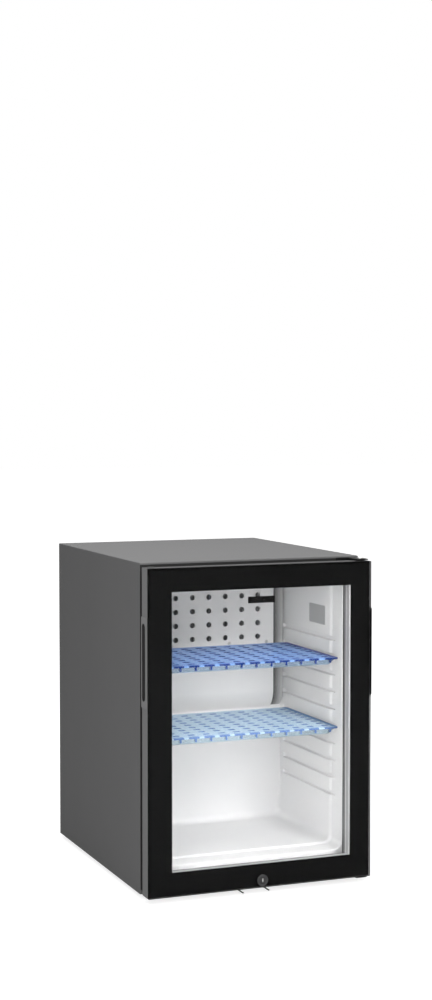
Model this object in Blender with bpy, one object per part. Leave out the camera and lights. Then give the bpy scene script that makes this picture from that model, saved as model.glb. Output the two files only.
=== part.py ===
"""Minibar fridge with a glass door, closed and at rest.

Metres. X is right as seen from the front, Y runs from the door to the back, Z is up.
The origin lies on the floor under the middle of the whole object.
"""
import math

import bmesh
import bpy
from mathutils import Matrix, Vector

# Gap left between neighbouring pieces, and the smaller one between parts that turn in each other
CLEAR = 0.0003
RUNNING = 0.0001

# Case of folded sheet steel
CASE_WIDTH = 0.400
CASE_HEIGHT = 0.552
CASE_DEPTH = 0.460
SHEET = 0.001
FRONT_FLANGE = 0.024
REAR_FLANGE = 0.012
BASE_LIP = 0.023
FOAM_DEPTH = 0.314

# Feet
FOOT_HEIGHT = 0.008
FOOT_RADIUS = 0.014
FOOT_TOP_RADIUS = 0.011
FOOT_INSET = 0.040

# Air slots in the base, under the cooling unit
AIR_SLOT_COUNT = 8
AIR_SLOT_PITCH = 0.036
AIR_SLOT_WIDTH = 0.014
AIR_SLOT_LENGTH = 0.090

# Liner
LINER_WALL = 0.002
CAVITY_WIDTH = 0.334
CAVITY_DEPTH = 0.257
FLOOR_THICKNESS = 0.046
CEILING_THICKNESS = 0.042
CAVITY_CORNER = 0.010
MOUTH_STEP = 0.004
MOUTH_DEPTH = 0.022

# Shelf grooves in the liner's side walls
GROOVE_COUNT = 10
GROOVE_PITCH = 0.0302
GROOVE_HEIGHT = 0.0065
GROOVE_DEPTH = 0.0035
GROOVE_REAR_GAP = 0.012
LOWEST_GROOVE = 0.133

# Shelves
UPPER_SHELF_LEVEL = 8
LOWER_SHELF_LEVEL = 4
SHELF_THICKNESS = 0.003
SHELF_FRONT = 0.0135
SHELF_LENGTH = 0.2185
SHELF_TONGUE = 0.0027
SHELF_LIP_HEIGHT = 0.011
SHELF_LIP_THICKNESS = 0.0025
SHELF_SLOT_COLUMNS = 12
SHELF_SLOT_ROWS = 9
SHELF_SLOT_PITCH_X = 0.0277
SHELF_SLOT_PITCH_Y = 0.0222
SHELF_FIRST_ROW = 0.0198
SHELF_CORNER = 0.005
SHELF_SLOT_LENGTH = 0.012
SHELF_SLOT_WIDTH = 0.008
SHELF_BAR_LENGTH = 0.017
SHELF_BAR_WIDTH = 0.0035
SHELF_NOTCH_WIDTH = 0.0025
SHELF_NOTCH_HEIGHT = 0.006

# Perforated cover of the evaporator
COVER_SHEET = 0.0012
COVER_WIDTH = 0.288
COVER_STANDOFF = 0.020
COVER_TOP_GAP = 0.012
COVER_HEIGHT = 0.215
COVER_BEND_HEIGHT = 0.030
COVER_HOLE_RADIUS = 0.005
COVER_HOLE_PITCH_X = 0.0322
COVER_HOLE_PITCH_Z = 0.0253
COVER_HOLE_COLUMNS = 8
COVER_HOLE_ROWS = 4
COVER_HOLE_TOP_MARGIN = 0.0345
COVER_SCREW_PITCHES = (0.056, 0.130)
COVER_SCREW_DROP = 0.0103

# Evaporator fins and the drip channel under them
FIN_COUNT = 20
FIN_PITCH = 0.012
FIN_THICKNESS = 0.0012
FIN_HEIGHT = 0.190
FIN_BASE = 0.003
FIN_FRONT_GAP = 0.0023
CHANNEL_HEIGHT = 0.016
CHANNEL_DEPTH = 0.009
CHANNEL_WALL = 0.001
CHANNEL_DROP = 0.002

# Interior light
LAMP_LENGTH = 0.090
LAMP_WIDTH = 0.040
LAMP_HEIGHT = 0.024
LAMP_LENS_HEIGHT = 0.007
LAMP_CORNER = 0.007
LENS_EDGE = 0.0023
LAMP_CENTRE_X = 0.055
LAMP_DEPTH = 0.150

# Cooling unit in the open recess behind the foam
UNIT_AXIS_DEPTH = 0.045
BOILER_WIDTH = 0.075
BOILER_DEPTH = 0.080
BOILER_HEIGHT = 0.260
BOILER_INSET = 0.090
BOILER_CORNER = 0.0125
HEATER_RADIUS = 0.006
HEATER_DEPTH = 0.100
HEATER_PROUD = 0.012
HEATER_OFFSET = 0.022
VESSEL_RADIUS = 0.030
VESSEL_LENGTH = 0.180
VESSEL_GAP = 0.022
VESSEL_DOME = 0.0105
DOME_SHOULDER_RADIUS = 0.021
DOME_SHOULDER = 0.003
CONDENSER_RADIUS = 0.007
CONDENSER_BEND = 0.021
CONDENSER_DROP = 0.060
CONDENSER_RUN = 0.210
CONDENSER_ENTRY_DROP = 0.072
CONDENSER_FIN_COUNT = 10
CONDENSER_FIN_PITCH = 0.016
CONDENSER_FIN_SIZE = 0.060
CONDENSER_FIN_THICKNESS = 0.001
RETURN_RADIUS = 0.009
RETURN_BEND = 0.022
RETURN_OFFSET = 0.170
RETURN_HEIGHT = 0.360
COIL_RADIUS = 0.006
COIL_SETBACK = 0.028
COIL_BEND = 0.0135
COIL_HALF_WIDTH = 0.075
COIL_OFFSET = 0.145
COIL_RISE = 0.034
COIL_PASSES = 4
COIL_PASS_PITCH = 0.048
COIL_LOWEST = 0.145
SOLUTION_RADIUS = 0.005
DRAIN_RADIUS = 0.004
DRAIN_WALL = 0.001
DRAIN_BEND = 0.012
DRAIN_OFFSET = 0.115
CUP_LENGTH = 0.056
CUP_DEPTH = 0.040
CUP_HEIGHT = 0.020
CUP_WALL = 0.0015
RAIL_WIDTH = 0.070
RAIL_FLANGE = 0.018
LOWER_RAIL_HEIGHT = 0.036
CONTROL_BOX_WIDTH = 0.046
CONTROL_BOX_DEPTH = 0.040
CONTROL_BOX_HEIGHT = 0.100
CONTROL_BOX_SIDE_GAP = 0.002
CONTROL_BOX_LIFT = 0.150
CONTROL_BOX_CORNER = 0.005
GLAND_RADIUS = 0.009
GLAND_BORE = 0.004
GLAND_LENGTH = 0.014
GLAND_FLANGE = 0.0035
GLAND_NECK = 0.0075

# Door
DOOR_GAP = 0.015
DOOR_THICKNESS = 0.032
DOOR_OVERHANG = 0.002
DOOR_TOP_DROP = 0.006
DOOR_BOTTOM_RISE = 0.003
GLASS_THICKNESS = 0.004
GLASS_CORNER = 0.003
BORDER = 0.040
PRINT_THICKNESS = 0.0004
PRINT_EDGE = 0.001
SPACER_WIDTH = 0.008
SPACER_DEPTH = 0.011
SPACER_SETBACK = 0.0005
FRAME_CHAMFER = 0.002

# Magnetic seal and its slot in the frame
SEAL_INSET = 0.0185
SEAL_WIDTH = 0.018
SEAL_SLOT_WIDTH = 0.003
SEAL_SLOT_DEPTH = 0.004
SEAL_SLOT_INSET = 0.0255
SEAL_NECK = 0.0036
SEAL_EDGE = 0.0009
SEAL_STEPS = (0.12, 0.32, 0.52)

# Finger grips in the door's upright edges
GRIP_DROP = 0.155
GRIP_LENGTH = 0.150
GRIP_PROUD = 0.0012
GRIP_POCKET_LENGTH = 0.128
GRIP_POCKET_WIDTH = 0.0145
GRIP_POCKET_DEPTH = 0.014
GRIP_WALL = 0.0015
GRIP_CORNER = 0.0024
POCKET_CORNER = 0.0065

# Hinges
HINGE_INSET = 0.012
PIN_RADIUS = 0.003
PIN_LENGTH = 0.011
PIN_HEAD_RADIUS = 0.005
PIN_HEAD_HEIGHT = 0.001
BUSH_WALL = 0.0017
BUSH_FLANGE = 0.002
BUSH_FLANGE_HEIGHT = 0.001
BUSH_LENGTH = 0.012
BRACKET_SHEET = 0.002
BRACKET_INNER_REACH = 0.032
BRACKET_OUTER_GAP = 0.001
BRACKET_FRONT_REACH = 0.012
BRACKET_LEAF = 0.015
SCREW_RADIUS = 0.0018
SCREW_HEAD_RADIUS = 0.0033
SCREW_HEAD_HEIGHT = 0.0018
SCREW_CROWN_RADIUS = 0.0023
SCREW_LENGTH = 0.010
SCREW_EDGE = 0.007
SCREW_PITCH = 0.012

# Lock
LOCK_RISE = 0.0134
LOCK_PROUD = 0.004
COLLAR_RADIUS = 0.0102
BARREL_RADIUS = 0.008
PLUG_RADIUS = 0.0055
PLUG_PROUD = 0.0005
COLLAR_EDGE = 0.001
PLUG_NECK_RADIUS = 0.0045
PLUG_TAIL_RADIUS = 0.0035
KEYHOLE_LENGTH = 0.007
KEYHOLE_WIDTH = 0.0016
KEYHOLE_DEPTH = 0.008
CAM_THICKNESS = 0.002
CAM_LENGTH = 0.020
CAM_WIDTH = 0.009
CAM_CORNER = 0.004
CAM_THREAD_RADIUS = 0.0013
CAM_HEAD_RADIUS = 0.0041
CAM_GAP = 0.0022
STRIKE_SHEET = 0.0015
STRIKE_LEFT = 0.0315
STRIKE_RIGHT = 0.0185
STRIKE_DROP = 0.0045
STRIKE_PLAY = 0.0011
STRIKE_LIP_RISE = 0.001
STRIKE_LENGTH = 0.040
PRONG_WIDTH = 0.003
PRONG_LENGTH = 0.023

# Sides of round pieces
ROUND = 16
SMALL_ROUND = 10

# Heights of the case
case_bottom = FOOT_HEIGHT
case_top = case_bottom + CASE_HEIGHT
case_half = CASE_WIDTH / 2
inner_half = case_half - SHEET - CLEAR

# Depths, front to back
total_depth = LOCK_PROUD + DOOR_THICKNESS + DOOR_GAP + CASE_DEPTH
case_front = -total_depth / 2 + LOCK_PROUD + DOOR_THICKNESS + DOOR_GAP
case_back = case_front + CASE_DEPTH
door_back = case_front - DOOR_GAP
door_front = door_back - DOOR_THICKNESS
print_front = door_front + GLASS_THICKNESS + CLEAR
frame_front = print_front + PRINT_THICKNESS + CLEAR
spacer_back = frame_front + SPACER_DEPTH
pane_front = spacer_back + CLEAR
pane_back = pane_front + GLASS_THICKNESS
foam_front = case_front + 2 * SHEET + 2 * CLEAR
foam_back = case_front + FOAM_DEPTH
panel_front = foam_back + CLEAR
panel_back = panel_front + SHEET
unit_y = panel_back + UNIT_AXIS_DEPTH

# Cavity of the liner
cavity_half = CAVITY_WIDTH / 2
cavity_low = case_bottom + FLOOR_THICKNESS
cavity_high = case_top - CEILING_THICKNESS
cavity_back = case_front + CAVITY_DEPTH
groove_back = cavity_back - GROOVE_REAR_GAP

# Door outline
door_half = case_half + DOOR_OVERHANG
door_low = case_bottom + DOOR_BOTTOM_RISE
door_high = case_top - DOOR_TOP_DROP
spacer_inset = BORDER - SPACER_SETBACK
pane_inset = spacer_inset - SPACER_WIDTH
frame_inset = pane_inset - CLEAR
seal_inner_inset = SEAL_INSET + SEAL_WIDTH

# Hinge and lock axes
hinge_x = door_half - HINGE_INSET
hinge_y = (frame_front + door_back) / 2
bush_radius = PIN_RADIUS + BUSH_WALL
bracket_gap = BUSH_FLANGE_HEIGHT + 2 * CLEAR
lock_z = door_low + LOCK_RISE
cam_front = door_back + CAM_GAP
cam_back = cam_front + CAM_THICKNESS

# Evaporator cover and what is behind it
cover_front = cavity_back - COVER_STANDOFF
cover_high = cavity_high - COVER_TOP_GAP
cover_bend = cover_high - COVER_HEIGHT
fin_front = cover_front + COVER_SHEET + FIN_FRONT_GAP
fin_back = cavity_back - CLEAR
fin_low = cover_bend + CHANNEL_HEIGHT / 2 + CHANNEL_DROP - CLEAR
channel_high = fin_low - CHANNEL_DROP
channel_low = channel_high - CHANNEL_HEIGHT
drain_z = channel_low + DRAIN_RADIUS + CHANNEL_WALL

# Cooling unit
lower_rail_z = case_bottom + LOWER_RAIL_HEIGHT
boiler_low = lower_rail_z + CLEAR
boiler_high = boiler_low + BOILER_HEIGHT
vessel_z = lower_rail_z + CLEAR + VESSEL_RADIUS
boiler_x = case_half - BOILER_INSET
boiler_wall = boiler_x - BOILER_WIDTH / 2
vessel_right = boiler_wall - VESSEL_GAP
vessel_left = vessel_right - VESSEL_LENGTH
vessel_top = vessel_z + VESSEL_RADIUS + CLEAR
condenser_z = case_top - CONDENSER_DROP
entry_x = boiler_x - CONDENSER_RUN
entry_z = condenser_z - CONDENSER_ENTRY_DROP
upper_rail_z = condenser_z - CONDENSER_FIN_SIZE / 2 - CLEAR
rail_front = panel_back + CLEAR
return_x = boiler_x - RETURN_OFFSET
return_z = case_bottom + RETURN_HEIGHT
drain_x = boiler_x - DRAIN_OFFSET


def clear_scene():
    for thing in list(bpy.data.objects):
        bpy.data.objects.remove(thing)


def finish(name, colour, roughness, metallic=0.0, transmission=0.0):
    """One plain Principled material."""
    material = bpy.data.materials.new(name)
    material.use_nodes = True
    shader = material.node_tree.nodes["Principled BSDF"]
    shader.inputs["Base Color"].default_value = (*colour, 1.0)
    shader.inputs["Roughness"].default_value = roughness
    shader.inputs["Metallic"].default_value = metallic
    shader.inputs["Transmission Weight"].default_value = transmission
    return material


def add(name, bm, material, origin=(0, 0, 0), parent=None):
    """Turn a bmesh in world coordinates into an object whose origin is where it turns or slides."""
    bmesh.ops.translate(bm, verts=bm.verts, vec=-Vector(origin))
    mesh = bpy.data.meshes.new(name)
    bm.to_mesh(mesh)
    bm.free()
    mesh.materials.append(material)
    mesh.shade_smooth()
    mesh.set_sharp_from_angle(angle=math.radians(35))
    piece = bpy.data.objects.new(name, mesh)
    bpy.context.scene.collection.objects.link(piece)
    piece.location = origin
    if parent:
        piece.parent = parent
        piece.location = Vector(origin) - world_place(parent)
    return piece


def world_place(empty):
    place = Vector(empty.location)
    while empty.parent:
        empty = empty.parent
        place += empty.location
    return place


def axis_empty(name, origin, parent=None):
    """An empty that stands on a joint's axis and carries what moves about it."""
    empty = bpy.data.objects.new(name, None)
    bpy.context.scene.collection.objects.link(empty)
    empty.location = Vector(origin) - (world_place(parent) if parent else Vector())
    empty.parent = parent
    return empty


def tool(name, bm):
    """A hidden solid that another piece is cut with or joined to."""
    mesh = bpy.data.meshes.new(name)
    bm.to_mesh(mesh)
    bm.free()
    solid = bpy.data.objects.new(name, mesh)
    bpy.context.scene.collection.objects.link(solid)
    solid.hide_render = True
    solid.display_type = "WIRE"
    return solid


def combine(piece, solids, operation):
    for bm in solids:
        label = f"{piece.name}_{operation.lower()}_{len(piece.modifiers)}"
        modifier = piece.modifiers.new(label, "BOOLEAN")
        modifier.operation = operation
        modifier.solver = "EXACT"
        modifier.object = tool(label, bm)


def cut(piece, *solids):
    combine(piece, solids, "DIFFERENCE")


def join(piece, *solids):
    combine(piece, solids, "UNION")


def block(low, high):
    bm = bmesh.new()
    low, high = Vector(low), Vector(high)
    scale = Matrix.Diagonal((*(high - low), 1.0))
    bmesh.ops.create_cube(bm, size=1.0, matrix=Matrix.Translation((low + high) / 2) @ scale)
    return bm


def blocks(pairs):
    """Several separate boxes in one bmesh."""
    whole = bmesh.new()
    for low, high in pairs:
        merge_into(whole, block(low, high))
    return whole


def merge_into(whole, part):
    mesh = bpy.data.meshes.new("passing")
    part.to_mesh(mesh)
    part.free()
    whole.from_mesh(mesh)
    bpy.data.meshes.remove(mesh)
    return whole


def round_edges(bm, chosen, radius, segments=2):
    edges = [edge for edge in bm.edges if chosen(*(vert.co for vert in edge.verts))]
    bmesh.ops.bevel(bm, geom=edges, offset=radius, segments=segments, affect="EDGES", profile=0.5)
    return bm


def along(axis):
    """Pick the edges that run along one axis: 0, 1 or 2."""
    def test(a, b):
        span = b - a
        return abs(span[axis]) > 0.99 * span.length
    return test


def rod(start, end, radius, sides=ROUND):
    """A round bar between two points."""
    bm = bmesh.new()
    start, end = Vector(start), Vector(end)
    turn = (end - start).to_track_quat("Z", "Y").to_matrix().to_4x4()
    place = Matrix.Translation((start + end) / 2) @ turn
    bmesh.ops.create_cone(bm, cap_ends=True, segments=sides, radius1=radius, radius2=radius,
                          depth=(end - start).length, matrix=place)
    return bm


def level_bore(x, z, front, back, radius, sides=SMALL_ROUND):
    """A cutter along Y whose flats stay clear of a round piece of this radius."""
    return rod((x, front, z), (x, back, z), (radius + CLEAR) / math.cos(math.pi / sides), sides)


def upright_bore(x, y, low, high, radius, sides=SMALL_ROUND):
    """The same along Z."""
    return rod((x, y, low), (x, y, high), (radius + CLEAR) / math.cos(math.pi / sides), sides)


def turned(profile, centre, axis, sides=ROUND):
    """Spin a (radius, height) profile round a line through the centre; the ends close on the line."""
    bm = bmesh.new()
    verts = [bm.verts.new((radius, 0, height)) for radius, height in profile]
    edges = [bm.edges.new(pair) for pair in zip(verts, verts[1:])]
    bmesh.ops.spin(bm, geom=verts + edges, cent=(0, 0, 0), axis=(0, 0, 1), angle=2 * math.pi,
                   steps=sides, use_merge=True, use_duplicate=False)
    bmesh.ops.remove_doubles(bm, verts=bm.verts, dist=1e-6)
    turn = Vector(axis).to_track_quat("Z", "Y").to_matrix().to_4x4()
    bmesh.ops.transform(bm, matrix=Matrix.Translation(centre) @ turn, verts=bm.verts)
    bmesh.ops.recalc_face_normals(bm, faces=bm.faces)
    return bm


def mitred_ring(profile, half, low, high):
    """Run a closed profile of (inset, y) points round an upright rectangle, with mitred corners."""
    def corner_point(side, top, inset, y):
        return Vector((side * (half - inset), y, high - inset if top else low + inset))
    bm = bmesh.new()
    loop = [bm.verts.new(corner_point(-1, False, inset, y)) for inset, y in profile]
    edges = [bm.edges.new((loop[i - 1], loop[i])) for i in range(len(loop))]
    for side, top in ((1, False), (1, True), (-1, True), (-1, False)):
        made = bmesh.ops.extrude_edge_only(bm, edges=edges)["geom"]
        for vert in (item for item in made if isinstance(item, bmesh.types.BMVert)):
            vert.co = corner_point(side, top, half - abs(vert.co.x), vert.co.y)
        edges = [item for item in made if isinstance(item, bmesh.types.BMEdge)]
    bmesh.ops.remove_doubles(bm, verts=bm.verts, dist=1e-6)
    bmesh.ops.recalc_face_normals(bm, faces=bm.faces)
    return bm


def profiled_bar(points, axis, start, end):
    """Extrude a closed outline along X (points are y, z) or along Z (points are x, y)."""
    bm = bmesh.new()
    place = (lambda a, b: (start, a, b)) if axis == 0 else (lambda a, b: (a, b, start))
    face = bm.faces.new([bm.verts.new(place(a, b)) for a, b in points])
    made = bmesh.ops.extrude_face_region(bm, geom=[face])["geom"]
    step = Vector((end - start, 0, 0)) if axis == 0 else Vector((0, 0, end - start))
    bmesh.ops.translate(bm, verts=[item for item in made if isinstance(item, bmesh.types.BMVert)], vec=step)
    bmesh.ops.recalc_face_normals(bm, faces=bm.faces)
    return bm


def sheet_outline(path, thickness):
    """Give an open bent path of 2D points a thickness on its left side, with mitred bends."""
    points = [Vector(point) for point in path]
    normals = [Vector((-(b - a).y, (b - a).x)).normalized() for a, b in zip(points, points[1:])]
    inner = []
    for i, point in enumerate(points):
        first = normals[max(i - 1, 0)]
        second = normals[min(i, len(normals) - 1)]
        mitre = (first + second).normalized()
        inner.append(point + mitre * thickness / mitre.dot(first))
    return [tuple(point) for point in points + inner[::-1]]


def pipe(name, corners, radius, bend, material):
    """A tube along a route of straight runs with round bends of five points each."""
    corners = [Vector(corner) for corner in corners]
    route = [corners[0]]
    for before, corner, after in zip(corners, corners[1:], corners[2:]):
        back, on = (before - corner).normalized(), (after - corner).normalized()
        half_turn = (math.pi - back.angle(on)) / 2
        reach = bend * math.tan(half_turn)
        centre = corner + (back + on).normalized() * bend / math.cos(half_turn)
        start = corner + back * reach - centre
        axis = back.cross(on).normalized() * -1
        for step in range(5):
            turn = Matrix.Rotation(2 * half_turn * step / 4, 3, axis)
            route.append(centre + turn @ start)
    route.append(corners[-1])
    curve = bpy.data.curves.new(name, "CURVE")
    curve.dimensions = "3D"
    curve.bevel_depth = radius
    curve.bevel_resolution = 2
    curve.use_fill_caps = True
    spline = curve.splines.new("POLY")
    spline.points.add(len(route) - 1)
    for point, place in zip(spline.points, route):
        point.co = (*place, 1.0)
    curve.materials.append(material)
    tube = bpy.data.objects.new(name, curve)
    bpy.context.scene.collection.objects.link(tube)
    return tube


def wall_bores(radius, x, z):
    """The hole that a pipe needs through the rear wall of liner, foam and back panel."""
    return level_bore(x, z, cavity_back - LINER_WALL, panel_back + LINER_WALL, radius)


def screw_solid(seat, direction, length=SCREW_LENGTH):
    """A pan head screw whose head stands on the seat and whose shank runs along the direction."""
    profile = [(0, -SCREW_HEAD_HEIGHT), (SCREW_CROWN_RADIUS, -SCREW_HEAD_HEIGHT),
               (SCREW_HEAD_RADIUS, -2 * CLEAR), (SCREW_HEAD_RADIUS, -CLEAR),
               (SCREW_RADIUS, -CLEAR), (SCREW_RADIUS, length), (0, length)]
    return turned(profile, seat, direction, SMALL_ROUND)


def liner_space(grow, corner):
    """The cavity with its wider mouth and its grooves, grown outwards by a wall.

    A corner of 0 leaves it square, as the foam's is here: the liner's own corners are round."""
    front = case_front - SHEET if grow == 0 else case_front + SHEET / 2
    rear = cavity_back + grow
    core = block((-cavity_half - grow, front, cavity_low - grow),
                 (cavity_half + grow, rear, cavity_high + grow))

    def rounded(a, b):
        return min(a.y, b.y) > rear - SHEET or along(1)(a, b)
    if corner:
        round_edges(core, rounded, corner)
    step = MOUTH_STEP + grow
    mouth = block((-cavity_half - step, front, cavity_low - step),
                  (cavity_half + step, case_front + MOUTH_DEPTH + grow, cavity_high + step))
    if corner:
        round_edges(mouth, along(1), corner)
    reach = cavity_half + GROOVE_DEPTH + grow
    pairs = []
    for level in range(GROOVE_COUNT):
        z = case_bottom + LOWEST_GROOVE + level * GROOVE_PITCH
        tall = GROOVE_HEIGHT / 2 + grow
        for side in (-1, 1):
            left, right = sorted((side * (cavity_half - GROOVE_DEPTH), side * reach))
            start = case_front + MOUTH_DEPTH / 2
            pairs.append(((left, start, z - tall), (right, groove_back + grow, z + tall)))
    grooves = blocks(pairs)

    def rear_end(a, b):
        return along(2)(a, b) and a.y > groove_back - SHEET and abs(a.x) > cavity_half
    round_edges(grooves, rear_end, GROOVE_DEPTH)
    return core, mouth, grooves


def make_wrap(paint):
    """One sheet folded into left side, top and right side, with flanges turned in at front and back."""
    def path(inset):
        return [(-case_half + inset, case_bottom), (-case_half + inset, case_top - inset),
                (case_half - inset, case_top - inset), (case_half - inset, case_bottom)]
    bm = bmesh.new()
    verts = [bm.verts.new((x, case_front, z)) for x, z in path(FRONT_FLANGE)]
    edges = [bm.edges.new(pair) for pair in zip(verts, verts[1:])]
    here = path(FRONT_FLANGE)
    for inset, y in ((0, case_front), (0, case_back), (REAR_FLANGE, case_back)):
        there = path(inset)
        made = bmesh.ops.extrude_edge_only(bm, edges=edges)["geom"]
        for vert in (item for item in made if isinstance(item, bmesh.types.BMVert)):
            index = min(range(4), key=lambda i: math.dist((vert.co.x, vert.co.z), here[i]))
            vert.co = Vector((there[index][0], y, there[index][1]))
        edges = [item for item in made if isinstance(item, bmesh.types.BMEdge)]
        here = there
    bmesh.ops.recalc_face_normals(bm, faces=bm.faces)
    top = max(bm.faces, key=lambda face: face.calc_center_median().z)
    if top.normal.z < 0:
        bmesh.ops.reverse_faces(bm, faces=bm.faces)
    wrap = add("outer_wrap", bm, paint)
    thick = wrap.modifiers.new("sheet", "SOLIDIFY")
    thick.thickness = SHEET
    thick.offset = -1
    thick.use_even_offset = True
    for x, z in bracket_screw_places():
        cut(wrap, level_bore(x, z, case_front - SHEET, case_front + 2 * SHEET, SCREW_RADIUS))


def bracket_screw_places():
    xs = (case_half - SCREW_EDGE, case_half - SCREW_EDGE - SCREW_PITCH)
    low = door_low - bracket_gap - BRACKET_SHEET + BRACKET_LEAF - SCREW_EDGE
    high = door_high + bracket_gap + BRACKET_SHEET - BRACKET_LEAF + SCREW_EDGE
    return [(x, z) for z in (low, high) for x in xs]


def make_base(steel):
    """Bottom sheet with lips turned up behind the wrap's flanges, and air slots at the back."""
    front = case_front + SHEET + CLEAR
    back = case_back - SHEET - CLEAR
    path = [(back, case_bottom + REAR_FLANGE), (back, case_bottom),
            (front, case_bottom), (front, case_bottom + BASE_LIP)]
    outline = sheet_outline(path, -SHEET)
    base = add("base_panel", profiled_bar(outline, 0, -inner_half, inner_half), steel)
    middle = (panel_back + back) / 2
    pairs = []
    for i in range(AIR_SLOT_COUNT):
        x = (i - (AIR_SLOT_COUNT - 1) / 2) * AIR_SLOT_PITCH
        pairs.append(((x - AIR_SLOT_WIDTH / 2, middle - AIR_SLOT_LENGTH / 2, case_bottom - SHEET),
                      (x + AIR_SLOT_WIDTH / 2, middle + AIR_SLOT_LENGTH / 2, case_bottom + 2 * SHEET)))
    cut(base, blocks(pairs))
    for x, z in bracket_screw_places()[:2]:
        cut(base, level_bore(x, z, case_front, front + 2 * SHEET, SCREW_RADIUS))


def make_back_panel(steel):
    low, high = case_bottom + SHEET + CLEAR, case_top - SHEET - CLEAR
    panel = add("back_panel", block((-inner_half, panel_front, low), (inner_half, panel_back, high)), steel)
    for radius, x, z in rear_pipes():
        cut(panel, wall_bores(radius, x, z))


def rear_pipes():
    return ((CONDENSER_RADIUS, entry_x, entry_z), (RETURN_RADIUS, return_x, return_z),
            (DRAIN_RADIUS, drain_x, drain_z))


def make_foam(foam_finish):
    """The foam fills what is left between the sheets and the liner, with tighter corners."""
    low, high = case_bottom + SHEET + CLEAR, case_top - SHEET - CLEAR
    body = block((-inner_half, foam_front, low), (inner_half, foam_back, high))
    foam = add("insulation_foam", body, foam_finish)
    cut(foam, *liner_space(LINER_WALL + CLEAR, 0))
    for radius, x, z in rear_pipes():
        cut(foam, wall_bores(radius, x, z))
    for x, z in bracket_screw_places():
        cut(foam, level_bore(x, z, case_front, case_front + SCREW_LENGTH, SCREW_RADIUS))


def make_liner(white):
    """Thermoformed box: outer skin, flange, then the cavity taken out."""
    core, mouth, grooves = liner_space(LINER_WALL, CAVITY_CORNER + LINER_WALL)
    liner = add("inner_liner", core, white)
    half = case_half - FRONT_FLANGE - CLEAR
    low, high = case_bottom + BASE_LIP + CLEAR, case_top - FRONT_FLANGE - CLEAR
    flange = block((-half, case_front, low), (half, case_front + LINER_WALL, high))
    join(liner, mouth, grooves, flange)
    cut(liner, *liner_space(0, CAVITY_CORNER))
    for radius, x, z in rear_pipes():
        cut(liner, wall_bores(radius, x, z))


def make_cover(white):
    """Perforated sheet in front of the fins: top return, face, and a lower end bent back to the wall."""
    wall = cavity_back - CLEAR
    half = COVER_WIDTH / 2
    foot = (wall - COVER_SHEET, cover_bend - COVER_BEND_HEIGHT)
    path = [foot, (cover_front, cover_bend), (cover_front, cover_high), (wall, cover_high)]
    cover = add("evaporator_cover", profiled_bar(sheet_outline(path, -COVER_SHEET), 0, -half, half), white)
    holes = bmesh.new()
    front, back = cover_front - COVER_SHEET, cover_front + 2 * COVER_SHEET
    for x, z in cover_hole_places():
        merge_into(holes, rod((x, front, z), (x, back, z), COVER_HOLE_RADIUS, SMALL_ROUND))
    for x in cover_screw_places():
        merge_into(holes, level_bore(x, cover_screw_height(), front, back, SCREW_RADIUS))
    cut(cover, holes)


def cover_hole_places():
    first = cover_high - COVER_HOLE_TOP_MARGIN
    return [((i - (COVER_HOLE_COLUMNS - 1) / 2) * COVER_HOLE_PITCH_X, first - row * COVER_HOLE_PITCH_Z)
            for row in range(COVER_HOLE_ROWS) for i in range(COVER_HOLE_COLUMNS)]


def cover_screw_places():
    return [side * x for x in COVER_SCREW_PITCHES for side in (-1, 1)]


def cover_screw_height():
    return cover_hole_places()[-1][1] - COVER_SCREW_DROP


def make_cover_screws(steel):
    length = COVER_SHEET + FIN_FRONT_GAP - CLEAR
    for number, x in enumerate(sorted(cover_screw_places()), start=1):
        screw = screw_solid((x, cover_front, cover_screw_height()), (0, 1, 0), length)
        add(f"cover_screw_{number}", screw, steel)


def make_fins(aluminium):
    """A comb: base plate on the rear wall and upright fins towards the cover."""
    first = -(FIN_COUNT - 1) / 2 * FIN_PITCH
    base = fin_back - FIN_BASE
    outline = []
    for i in range(FIN_COUNT):
        left = first + i * FIN_PITCH - FIN_THICKNESS / 2
        right = left + FIN_THICKNESS
        outline += [(left, base), (left, fin_front), (right, fin_front), (right, base)]
    outline[0] = (outline[0][0], fin_back)
    outline[-1] = (outline[-1][0], fin_back)
    return add("evaporator_fins", profiled_bar(outline, 2, fin_low, fin_low + FIN_HEIGHT), aluminium)


def make_channel(white):
    """Trough under the fins, with a hole to the drain tube in its back."""
    half = (FIN_COUNT - 1) / 2 * FIN_PITCH
    front = fin_back - CHANNEL_DEPTH
    channel = add("drip_channel", block((-half, front, channel_low), (half, fin_back, channel_high)), white)
    wall = CHANNEL_WALL
    cut(channel, block((wall - half, front + wall, channel_low + wall),
                       (half - wall, fin_back - wall, channel_high + wall)),
        level_bore(drain_x, drain_z, fin_back - 2 * wall, fin_back + wall, DRAIN_RADIUS - DRAIN_WALL - CLEAR))


def make_lamp(white, lens_finish):
    ceiling = cavity_high - CLEAR
    left, right = LAMP_CENTRE_X - LAMP_LENGTH / 2, LAMP_CENTRE_X + LAMP_LENGTH / 2
    front = case_front + LAMP_DEPTH - LAMP_WIDTH / 2
    split = ceiling - LAMP_HEIGHT + LAMP_LENS_HEIGHT
    housing = block((left, front, split), (right, front + LAMP_WIDTH, ceiling))
    round_edges(housing, along(2), LAMP_CORNER)
    lens = block((left, front, ceiling - LAMP_HEIGHT), (right, front + LAMP_WIDTH, split - CLEAR))
    round_edges(lens, along(2), LAMP_CORNER)
    round_edges(lens, lambda a, b: max(a.z, b.z) < ceiling - LAMP_HEIGHT + CLEAR, LENS_EDGE, 1)
    add("lamp_housing", housing, white)
    add("lamp_lens", lens, lens_finish)


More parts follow.
